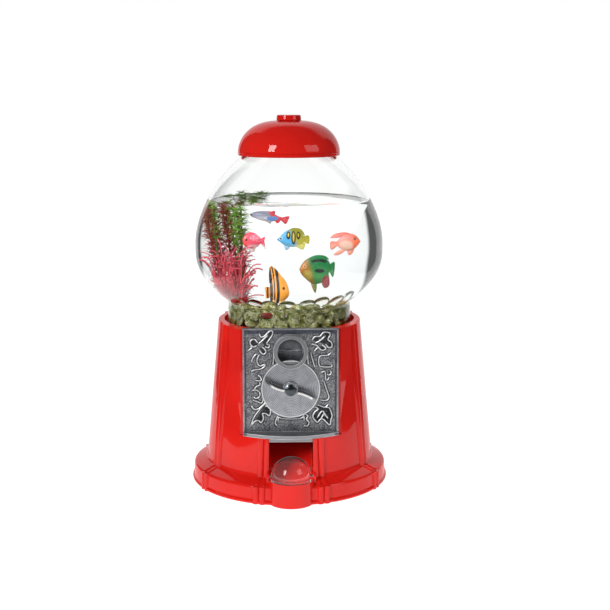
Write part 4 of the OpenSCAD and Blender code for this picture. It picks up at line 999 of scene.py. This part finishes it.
# %% Smooth lines
def smooth_line(points, per=5, closed=False):
    """More points along a curve through the given ones (Catmull-Rom)."""
    last = len(points) - 1
    made = []
    for i in range(last + closed):
        near = [i + k for k in (-1, 0, 1, 2)]
        p = [Vector(points[n % (last + 1) if closed else min(max(n, 0), last)]) for n in near]
        for k in range(per):
            t = k / per
            made.append(0.5 * (2 * p[1] + (p[2] - p[0]) * t
                               + (2 * p[0] - 5 * p[1] + 4 * p[2] - p[3]) * t * t
                               + (3 * p[1] - p[0] - 3 * p[2] + p[3]) * t ** 3))
    if not closed:
        made.append(Vector(points[-1]))
    return made


def height_at(line, x):
    """The height of a line of points that runs along x."""
    for a, b in zip(line, line[1:]):
        if a.x <= x <= b.x:
            return a.y + (b.y - a.y) * (x - a.x) / max(1e-6, b.x - a.x)
    return line[0].y if x < line[0].x else line[-1].y


print("a smooth line through 3 points has", len(smooth_line([(0, 0), (1, 1), (2, 0)])))

# %% [markdown]
# The body is drawn along the middle between back and belly. The eyes are small balls, sunk into
# the head where its side is at that height.

# %% Fish shapes
def fish_shape(back, belly, fins, thick, eye):
    """A fish with its nose towards -X, in millimetres round its own middle."""
    nose, tail = back[0][0], back[-1][0]
    top, low = smooth_line(back), smooth_line([back[0]] + belly)

    def girth(x):
        """The middle of the body, and half its height and half its thickness."""
        above, below = height_at(top, x), height_at(low, x)
        half = max(0.15, (above - below) / 2)
        swell = math.sin(math.pi * (0.1 + 0.82 * (x - nose) / (tail - nose)) ** 0.8)
        return (above + below) / 2, half, min(thick / 2 * swell, 1.1 * half + 0.1)

    places = []
    for i in range(25):
        x = nose + (tail - nose) * (0.5 - 0.5 * math.cos(math.pi * i / 24) if i < 12 else i / 24)
        middle, half, wide = girth(x)
        places.append(section((0, wide, 0), (0, 0, half), (1, 0, 0), (x, 0, middle)))
    shape = drawn(circle(24), places)
    for fin in fins:
        rim = smooth_line(fin, 4, True)
        centre = sum(rim, Vector((0, 0))) / len(rim)
        plate = drawn(rim, [section((1, 0, 0), (0, 0, 1), (0, 1, 0), (0, y, 0))
                            for y in (-0.5, -0.2, 0.2, 0.5)])
        for vertex in plate.verts:
            if abs(vertex.co.y) > 0.4:
                inward = Vector((centre.x - vertex.co.x, 0, centre.y - vertex.co.z))
                vertex.co += inward * 0.4 / max(1, inward.length)
        pour(plate, shape)
    middle, half, wide = girth(eye[0])
    up = max(-0.95, min(0.95, (eye[1] - middle) / half))
    for side in (-1, 1):
        ball = bmesh.ops.create_uvsphere(shape, u_segments=14, v_segments=8, radius=0.75)
        bmesh.ops.translate(shape, verts=ball["verts"],
                            vec=(eye[0], side * (wide * (1 - up * up) ** 0.5 - 0.35), eye[1]))
    bmesh.ops.recalc_face_normals(shape, faces=shape.faces)
    return shape


print("fish bodies have 25 places of", len(circle(24)), "points")

# %% [markdown]
# The paint on every fish has the same gloss, the same faint dirt, a bump of scales on the body
# and one of rays on the fins. A fish that faces right is the same mould turned over, so its paint
# is worked out in mirrored coordinates.

# %% Placing and painting fish
def fish(name, at, faces_left, shape, paint_job):
    """Places a fish, turned the right way, over the base, and paints it in its own millimetres."""
    flip = 1 if faces_left else -1
    middle = (at[0], at[1], at[2] + BASE_H)
    bmesh.ops.transform(shape, verts=shape.verts,
                        matrix=Matrix.Translation(middle) @ Matrix.Diagonal((flip, 1, 1, 1)))
    if not faces_left:
        bmesh.ops.reverse_faces(shape, faces=shape.faces)
    finish = Finish(name + "_paint", Coat_Weight=0.35, Coat_Roughness=0.1)
    place = finish.place(middle)
    x, y, z = finish.axes(place)
    x = x * flip
    colour = paint_job(finish, x, z)
    blotch = finish.noise(place, 2.2, 3)
    finish.set("Base Color", finish.mix(blotch.step(0.45, 0.8) * 0.06, colour, (0.85, 0.80, 0.72)))
    scales = finish.node("ShaderNodeTexVoronoi", {}, {"Vector": place, "Scale": 0.85}, "Distance")
    rays = ((x * 0.35 + z) * 5).wave()
    on_body = y.size().step(0.52, 0.75)
    finish.set("Normal", finish.bump(scales * on_body + rays * (1 - on_body) * 0.6, 0.18))
    finish.set("Roughness", 0.25 + 0.2 * blotch)
    node = name.replace("toy_", "fish_")
    dress(finished(name, shape), finish, "globe", node, node)


print("fish kit ready, swimming over", BASE_H)

# %% [markdown]
# The fish were painted with a brush and a stencil. Images would do that, but masks in the fish's
# own millimetres stay sharp at any distance: a step along the body, or an oval spot. The guppy is
# grey in front and red behind, with a blue flank, a few small black spots and a black nose.

# %% Guppy
BLACK = (0.012, 0.012, 0.014)


def guppy_paint(f, x, z):
    colour = f.mix(z.step(-4, 4), (0.42, 0.40, 0.44), (0.24, 0.25, 0.33))
    colour = f.mix((x + z * 0.6).step(1.4, 3.2), colour, (0.66, 0.05, 0.07))
    colour = f.mix(f.spot(x, z, (2.6, -0.8), (4.6, 2.0)), colour, (0.10, 0.24, 0.55))
    for spot in ((3.4, 5.0), (4.8, 3.6), (6.6, 2.2), (12.5, -4.6), (9.6, -3.4)):
        colour = f.mix(f.spot(x, z, spot, (0.55, 0.45)), colour, BLACK)
    return f.mix(f.spot(x, z, (-15.3, 2.2), (1.5, 1.2)), colour, BLACK)


fish("toy_guppy", (-16, -8, 100), True, fish_shape(
    [(-15.9, 3.1), (-12.4, 4.8), (-8.1, 5.6), (-1.6, 5.5), (1.6, 5.1), (5.9, 1.8), (10.2, 0)],
    [(-14.5, 1), (-10.2, -1.4), (-3.8, -3.3), (0.5, -3.6), (4.8, -3.3), (10.2, -2.5)],
    [[(0.5, 4.1), (4.5, 6), (4, 2.1)], [(-3.8, -2.3), (0.5, -5.5), (1.8, -2.6)],
     [(4.8, -2.5), (5.9, -5.2), (8.3, -4.1), (8.7, -2)],
     [(8.8, -0.6), (15.8, 1), (15.2, -2.5), (13, -5.9), (8.8, -2)]],
    4.5, (-12.6, 2.9)), guppy_paint)

# %% [markdown]
# The pink fish is short and high, dark pink above and pale below, with a redder head. A painted
# highlight lightens its back: a spot with a wide, soft edge.

# %% Pink fish
def pink_paint(f, x, z):
    colour = f.mix(z.step(-4.6, -1.6), (0.86, 0.62, 0.62), (0.84, 0.08, 0.14))
    # Painted highlight: a lighter pink spot on the back.
    colour = f.mix(f.spot(x, z, (0.5, 3.2), (4.5, 2.4), 0.6) * 0.7, colour, (0.92, 0.24, 0.34))
    colour = f.mix((x * -1).step(3.0, 7.0), colour, (0.80, 0.06, 0.07))
    return f.mix(f.spot(x, z, (-6.4, 1.2), (0.85, 0.85)), colour, BLACK)


fish("toy_pink", (-28, -5, 80), True, fish_shape(
    [(-9.3, 0.9), (-8, 4.3), (-3.9, 7.1), (-0.6, 6.9), (3.1, 4.8), (6, 1.6)],
    [(-8.7, -2.2), (-6, -4.8), (-1.7, -5.9), (3.1, -4.3), (6, -1.1)],
    [[(4.6, 1), (9, 3.4), (8.3, -0.2), (9.3, -6), (4.6, -1)],
     [(-4.4, -4.4), (-2.8, -7.8), (0.4, -7.3), (1.3, -4.4)]],
    5.5, (-6.4, 1.2)), pink_paint)

# %% [markdown]
# The blue fish has a blue head and an olive body with three black bars, each with a yellow heart.
# The hearts are smaller spots in the same places, so both come from one list.

# %% Blue fish
def blue_paint(f, x, z):
    olive = f.mix(z.step(-5, 6), (0.55, 0.47, 0.04), (0.30, 0.29, 0.02))
    colour = f.mix((x * 0.9 + z * 0.5).step(-2.5, 3.2), (0.09, 0.42, 0.74), olive)
    below = f.mix(x.step(0, 4), (0.35, 0.62, 0.80), (0.72, 0.68, 0.20))
    colour = f.mix(z.step(-6.5, -3.5), below, colour)
    bars = (((-3.7, 2.8), (1.7, 3.2)), ((0.4, 0.8), (1.8, 5.4)), ((4.3, 2.5), (1.6, 3.1)))
    for centre, size in bars:
        colour = f.mix(f.spot(x, z, centre, size), colour, BLACK)
        yolk = (size[0] - 1.1, size[1] - 1.6)
        colour = f.mix(f.spot(x, z, (centre[0], centre[1] + 0.3), yolk), colour, (0.80, 0.62, 0.04))
    colour = f.mix((x * -1).step(11.2, 12.4), colour, (0.12, 0.16, 0.22))
    colour = f.mix(f.spot(x, z, (-9.8, 0.1), (1.3, 1.2)), colour, (0.45, 0.60, 0.68))
    return f.mix(f.spot(x, z, (-9.8, 0.1), (0.8, 0.75)), colour, BLACK)


fish("toy_blue", (3, -6, 82), True, fish_shape(
    [(-13, -1.1), (-10, 1.9), (-6.2, 5.8), (-0.9, 7.4), (5.1, 6.1), (9.2, 1.1)],
    [(-9.8, -3.2), (-5.7, -5.8), (0.2, -6.5), (5.6, -5.2), (9.2, -2.5)],
    [[(7.7, 1), (12.2, 2.4), (13.2, -0.9), (12.2, -4.3), (7.7, -2)],
     [(-5.7, 5), (-0.3, 8.5), (6.4, 7.5), (9.6, 1.7), (5.1, 5)],
     [(-7.4, -4), (-5.7, -8.6), (-2.9, -7.3), (-2.5, -5)],
     [(1, -5.5), (7.9, -8.4), (9.6, -3.6), (5.1, -4.2)]],
    5.5, (-9.8, 0.1)), blue_paint)

# %% [markdown]
# The coral fish faces right. Fine slanting lines of a paler colour cover its upper half, drawn by
# a wave that runs across the body and is let through by a spot.

# %% Coral fish
def coral_paint(f, x, z):
    colour = f.mix(z.step(-5, 3), (0.86, 0.34, 0.24), (0.88, 0.21, 0.17))
    colour = f.mix(f.spot(x, z, (-0.5, -1.2), (5.5, 3.4), 0.5), colour, (0.84, 0.52, 0.40))
    colour = f.mix((x * -1).step(5.0, 7.6), colour, (0.87, 0.16, 0.05))
    lines = ((x * 1.4 + z * 0.8) * 2.2).wave().step(0.2, 0.9)
    lines = lines * f.spot(x, z, (0, 3), (7, 3.6), 0.4)
    colour = f.mix(lines * 0.5, colour, (0.80, 0.42, 0.34))
    return f.mix(f.spot(x, z, (-7.9, 3.6), (0.85, 0.85)), colour, (0.05, 0.02, 0.02))


fish("toy_coral", (45, -4, 78), False, fish_shape(
    [(-12.4, 1.3), (-8.9, 5.6), (-4.1, 7.5), (1.3, 6.5), (5.6, 3.2), (7.5, 0.9)],
    [(-10, -1.3), (-6.2, -4.3), (-0.9, -5.2), (4, -4.1), (7.5, -1.6)],
    [[(5.9, 0.8), (12.5, 1.1), (11.8, -4.7), (5.9, -1.2)],
     [(-6.2, 6), (-2, 8.2), (2.4, 8.6), (8.8, 7.3), (12.7, 3.9), (7.8, 3.9), (2.4, 4.9)],
     [(1.1, -4.2), (6.5, -5.4), (10.1, -8.8), (5.4, -9), (-0.5, -4.2)],
     [(-1.1, -4), (-1.9, -9.4), (-5.2, -8), (-6.4, -3.2)]],
    5.5, (-7.9, 3.6)), coral_paint)

# %% [markdown]
# The green fish is the largest. Its head is brown and gold, and a black curve runs under its back
# fin: an oval spot with a second one taken away from it.

# %% Green fish
def green_paint(f, x, z):
    colour = f.mix(z.step(-6, 5), (0.04, 0.27, 0.06), (0.008, 0.18, 0.05))
    colour = f.mix((x + z * 0.35).step(-8.5, -2.0), (0.40, 0.15, 0.015), colour)
    colour = f.mix(f.spot(x, z, (-7.5, -3.0), (3.4, 2.6), 0.6), colour, (0.42, 0.30, 0.04))
    upper = f.spot(x, z, (1.6, 6.0), (6.3, 2.2)) * (1 - f.spot(x, z, (1.4, 3.9), (5.0, 1.9)))
    colour = f.mix(upper, colour, BLACK)
    colour = f.mix(f.spot(x, z, (2.2, -0.6), (4.0, 1.2)), colour, BLACK)
    colour = f.mix(f.spot(x, z, (7.3, -6.0), (3.4, 3.0)), colour, (0.30, 0.045, 0.05))
    colour = f.mix(f.spot(x, z, (-9.8, 2.2), (1.25, 1.15)), colour, (0.75, 0.42, 0.14))
    return f.mix(f.spot(x, z, (-9.8, 2.2), (0.75, 0.7)), colour, BLACK)


fish("toy_green", (22, -10, 58), True, fish_shape(
    [(-14.1, 0.1), (-11.4, 4.4), (-7.3, 8.7), (-1.9, 10.4), (4.5, 9.8), (9.4, 6.2), (10.8, 3)],
    [(-12.7, -2.5), (-8.4, -5.1), (-3, -7), (3.4, -6.4), (7.8, -3.8), (10.8, -0.3)],
    [[(9.3, 2.4), (13.8, 5.3), (14.4, 1.4), (12.7, -3.8), (9.3, 0)],
     [(-7.3, 7.9), (-1.4, 11.5), (5.8, 11.2), (9.9, 7.3), (4, 8.4)],
     [(-5.4, -5.4), (-1.3, -12), (-0.4, -5.8)],
     [(3.4, -5.1), (5.8, -8.9), (9.9, -7.6), (9.5, -2.8), (7.8, -2.1)]],
    6.5, (-9.8, 2.2)), green_paint)

# %% [markdown]
# The angel fish is orange with black bars that bend backwards towards its long fins. Taking a
# share of the squared height from x before the steps bends them all alike.

# %% Angel fish
def angel_paint(f, x, z):
    colour = f.mix(z.step(-9, -3), (0.86, 0.60, 0.30), (0.92, 0.36, 0.03))
    bow = z * z * -0.012
    for middle, half, low in ((4.4, 1.15, -15), (-1.0, 1.1, -15), (1.9, 0.5, -6)):
        bar = 1 - (x + bow - middle).size().step(half * 0.8, half * 1.25)
        colour = f.mix(bar * z.step(low, low + 1), colour, BLACK)
    colour = f.mix(1 - (x - 7.6).size().step(0.5, 0.9), colour, BLACK)
    return f.mix(f.spot(x, z, (-5.3, 2.7), (0.85, 0.8)), colour, BLACK)


fish("toy_angel", (-10, -12, 46), False, fish_shape(
    [(-9.9, 0.5), (-8.3, 4.7), (-4, 8.4), (1.4, 9.5), (4.8, 6.5), (5.9, 3)],
    [(-9.2, -2.2), (-6.1, -5.4), (-1.8, -7), (3, -5.9), (5.7, -2.7)],
    [[(4.5, 2.6), (9.6, 3.4), (9.2, -0.2), (8.9, -4.3), (4.5, -2.2)],
     [(-5.1, 6.8), (1.4, 12.7), (5.7, 13.8), (6.1, 5.2), (1.4, 8.3)],
     [(5.5, -2), (4.4, -13.6), (1.2, -12.9), (-1, -5.9)],
     [(-0.5, -5.9), (-2.9, -12.7), (-5.1, -12.1), (-6.4, -4.2)]],
    5.5, (-5.3, 2.7)), angel_paint)

# %% [markdown]
# Leaves and tendrils stand on the coin plate as thin raised lines, which were cut by hand into the
# pattern for the casting. Curves with a round bevel would look like wires laid on it. A ridge
# drawn along a smooth line can be low and broad, and can sink into the plate at both ends. Its
# points are measured from the handle's axis. Beside the lines lies painted shade, as wider, lower
# dark ridges, and some leaves are filled with dark patches that are only a film thick.

# %% Ridges and patches
RIDGE = ((-0.5, -0.1), (-0.38, 0.6), (0, 1), (0.38, 0.6), (0.5, -0.1))
RIDGE_Y, PATCH_FRONT, PATCH_BACK = -68.45, -68.57, -68.40


def ridge(shape, points, width=1.5, height=0.75):
    """A low ridge along a line on the plate, fading out at both ends."""
    line = smooth_line(points, 6)
    last = len(line) - 1
    places = []
    for i, p in enumerate(line):
        along = line[min(i + 1, last)] - line[max(i - 1, 0)]
        side = Vector((-along.y, along.x)).normalized()
        full = min(1.0, 0.35 + 0.33 * min(i, last - i))
        places.append(section(Vector((side.x, 0, side.y)) * width * full,
                              Vector((0, -1, 0)) * height * full,
                              (along.x, 0, along.y), (p.x, RIDGE_Y, p.y + SHAFT_Z)))
    pour(drawn(RIDGE, places), shape)


def patch_of(shape, points):
    """A closed patch inside a line, only a film thick."""
    rim = smooth_line(points, 4, True)
    patch = drawn(rim, [section((1, 0, 0), (0, 0, 1), (0, 1, 0), (0, y, SHAFT_Z))
                        for y in (PATCH_FRONT, PATCH_BACK)])
    bmesh.ops.triangulate(patch, faces=[face for face in patch.faces if len(face.verts) > 4])
    pour(patch, shape)


print("ridges stand on y =", RIDGE_Y)

# %% [markdown]
# The lines are listed leaf by leaf, in the order in which one would cut them: upper left, down
# the left side, the bracket, and up the right side. Those that go round a leaf are filled.

# %% Plate ornament
FILLED = ((-31.6, 56.7), (-32.9, 47.3), (-31.5, 40.4), (-39.6, -38), (24.5, -19.1), (23.4, 38),
          (21.4, 49.8))
ornament, shade_strips_and_patches = bmesh.new(), bmesh.new()
for line in (
        # the upper left leaf, its vein and its two small lobes
        [(-31.6, 56.7), (-29.2, 53.1), (-25.4, 54.6), (-20.9, 59.2), (-17.8, 58.7), (-18.5, 54.6),
         (-22, 49.5), (-23.7, 46.2), (-21, 44.9), (-22, 42.4), (-25.5, 43.1)],
        [(-32.2, 46.2), (-27.9, 49.9), (-22.4, 55.1)],
        [(-32.9, 47.3), (-35.4, 50.6), (-38.6, 50.7), (-40.4, 47.9), (-39.4, 44.9), (-36.5, 43.2),
         (-33.7, 44.5)],
        [(-42.5, 39.5), (-40.3, 40.8), (-38.9, 42.5), (-40.6, 43.8)],
        [(-31.5, 40.4), (-29.3, 37), (-26.7, 35.6), (-24.7, 37.6), (-25.5, 40.4), (-28.3, 42.7)],
        # the bud below it, then the tendril down the left side
        [(-39.6, 17.9), (-35.6, 19.7), (-30.1, 20.4), (-26.4, 22.7), (-25.8, 25.3), (-29.4, 23.7),
         (-32, 24.6), (-33.4, 27.6), (-33.4, 31.2), (-31, 35.3)],
        [(-39.1, 27.7), (-37.5, 32.3), (-34, 36.3)],
        [(-32.5, 14.3), (-30.1, 11.7), (-29.9, 8.6), (-35.2, 8.6)],
        [(-31.2, 7.1), (-30.9, 4), (-34.3, 2.7), (-36.3, -0.3)],
        [(-38.8, -1.7), (-35, -1), (-31.8, -2.7), (-30.8, -5.6), (-32.3, -9), (-35.4, -9.7),
         (-36.8, -8.2)],
        [(-37.9, -11.7), (-33.7, -13), (-29.7, -14.7), (-28, -12.6), (-28, -10)],
        [(-39.4, -17.7), (-37.7, -20.3), (-35.4, -21.4), (-31.4, -19.9), (-27.9, -16.8),
         (-25.3, -13.7)],
        # the lower left leaf and its vein
        [(-39.6, -38), (-36, -33.6), (-32.5, -32.9), (-29.8, -35), (-27.4, -30.3), (-28.4, -25.9),
         (-25.4, -25.6), (-21.4, -27.8), (-20.3, -22), (-22.8, -18.7), (-25.9, -17.6)],
        [(-39.6, -37), (-38, -31.3), (-34.5, -25.6), (-29.7, -19.4), (-25.3, -14.7)],
        # the empty bracket under the disc
        [(-13.4, -38.8), (-15.4, -36.2), (-14.7, -32), (-12.6, -27.9)],
        [(-12.8, -34.1), (-12.1, -29.9), (-8.8, -31), (0.3, -31.4), (10.4, -30.8), (13.4, -27.5)],
        [(14.9, -26.4), (17.4, -28.6), (15.9, -31.7), (18.5, -35.4), (16.6, -39.1), (13.4, -38.5)],
        [(13.4, -28.5), (13.6, -33.2)],
        # the lower right leaf and its veins
        [(24.5, -19.1), (27.5, -21.4), (23.7, -25), (22.5, -29.9), (26.7, -35.2), (29.6, -32.4),
         (32.8, -32.1), (39.2, -38.2), (40.5, -33), (41.7, -27.8), (39.1, -20.5), (35.6, -19.9)],
        [(26.5, -30.8), (31.6, -23.5), (35.1, -27.7), (37.7, -31.4)],
        [(30.1, -31.9), (33.6, -26.1)],
        [(27, -17), (29.5, -17.8), (34.6, -19.4), (38.1, -16.3)],
        # the tendril up the right side
        [(29.6, -12), (36.6, -12.1), (38.4, -8), (36, -0.7), (33, 8.6)],
        [(30.6, 16.1), (34, 17.7), (35, 13.8), (35, 9.1), (37.7, 9.4), (38.5, 11.7)],
        [(29.4, 22.6), (40.5, 22.2), (41.3, 24.5)],
        [(29.4, 22.6), (28.2, 26.2), (28.4, 31.3), (30.6, 33.8), (37.4, 34.3), (40.9, 37.4)],
        [(36.6, 14.6), (39, 13.9), (40.7, 16.3), (40, 18.4)],
        [(19.9, 37.5), (21.9, 30.3), (24.2, 22.1)],
        # the two straight sides that carry the ring down to the disc
        [(-17.0, 37), (-17.2, 31), (-17.6, 24.6)],
        [(17.0, 37), (17.2, 31), (17.6, 24.6)],
        # the upper right leaf and its veins
        [(23.4, 38), (27.4, 42.1), (30.6, 39.5), (34.4, 40), (34.9, 42), (31.4, 44.6)],
        [(21.4, 49.8), (24.4, 53.3), (29.4, 53.8), (32.9, 57.6), (38.3, 57.3), (39.4, 54.7),
         (37.4, 50.2), (40.9, 47.1), (41.4, 43), (37.9, 42), (34.9, 45.6)],
        [(24.4, 46.7), (29.4, 49.2), (34.9, 54.2)],
        [(21.4, 45.7), (25.4, 44.6), (28.2, 42.4)]):
    ridge(ornament, line)
    # Painted shade: a wider, lower dark ridge under each raised line.
    ridge(shade_strips_and_patches, line, 4.0, 0.12)
    if line[0] in FILLED:
        patch_of(shade_strips_and_patches, line)
print("ornament:", len(ornament.faces), "faces, blackening:", len(shade_strips_and_patches.faces))

# %% [markdown]
# The raised lines have been rubbed almost white by polishing. The painted shade beside them, which
# the dark leaf patches share, is dull and a little uneven. Both stay metallic, as the plate is
# metal.

# %% Rubbed lines and painted shade
rubbed = Finish("rubbed_lines", Metallic=0.9, Roughness=0.34)
worn = rubbed.noise(rubbed.place(), 3, 3)
rubbed.set("Base Color", rubbed.mix(worn.step(0.3, 0.7), (0.95, 0.95, 0.95), (0.72, 0.725, 0.74)))
rubbed.set("Normal", rubbed.bump(worn, 0.05))
dress(finished("plate_scrolls", ornament), rubbed, "base", "pewter")
# Painted shade beside the lines, mottled dark; the dark leaf patches wear it as well.
black = Finish("plate_shade_and_patches", Metallic=0.7, Roughness=0.55)
strip_mottle = black.noise(black.place(), 1.3, 3, 0.6)
black.set("Base Color", black.mix(strip_mottle.step(0.45, 0.75), (0.02, 0.021, 0.026), (0.13, 0.135, 0.15)))
black.set("Normal", black.bump(strip_mottle, 0.2))
dress(finished("plate_shade_and_patches", shade_strips_and_patches), black, "base", "pewter")

# %% [markdown]
# The last cell removes the scratch mesh that the small parts were poured through.

# %% End
bpy.data.meshes.remove(scratch)
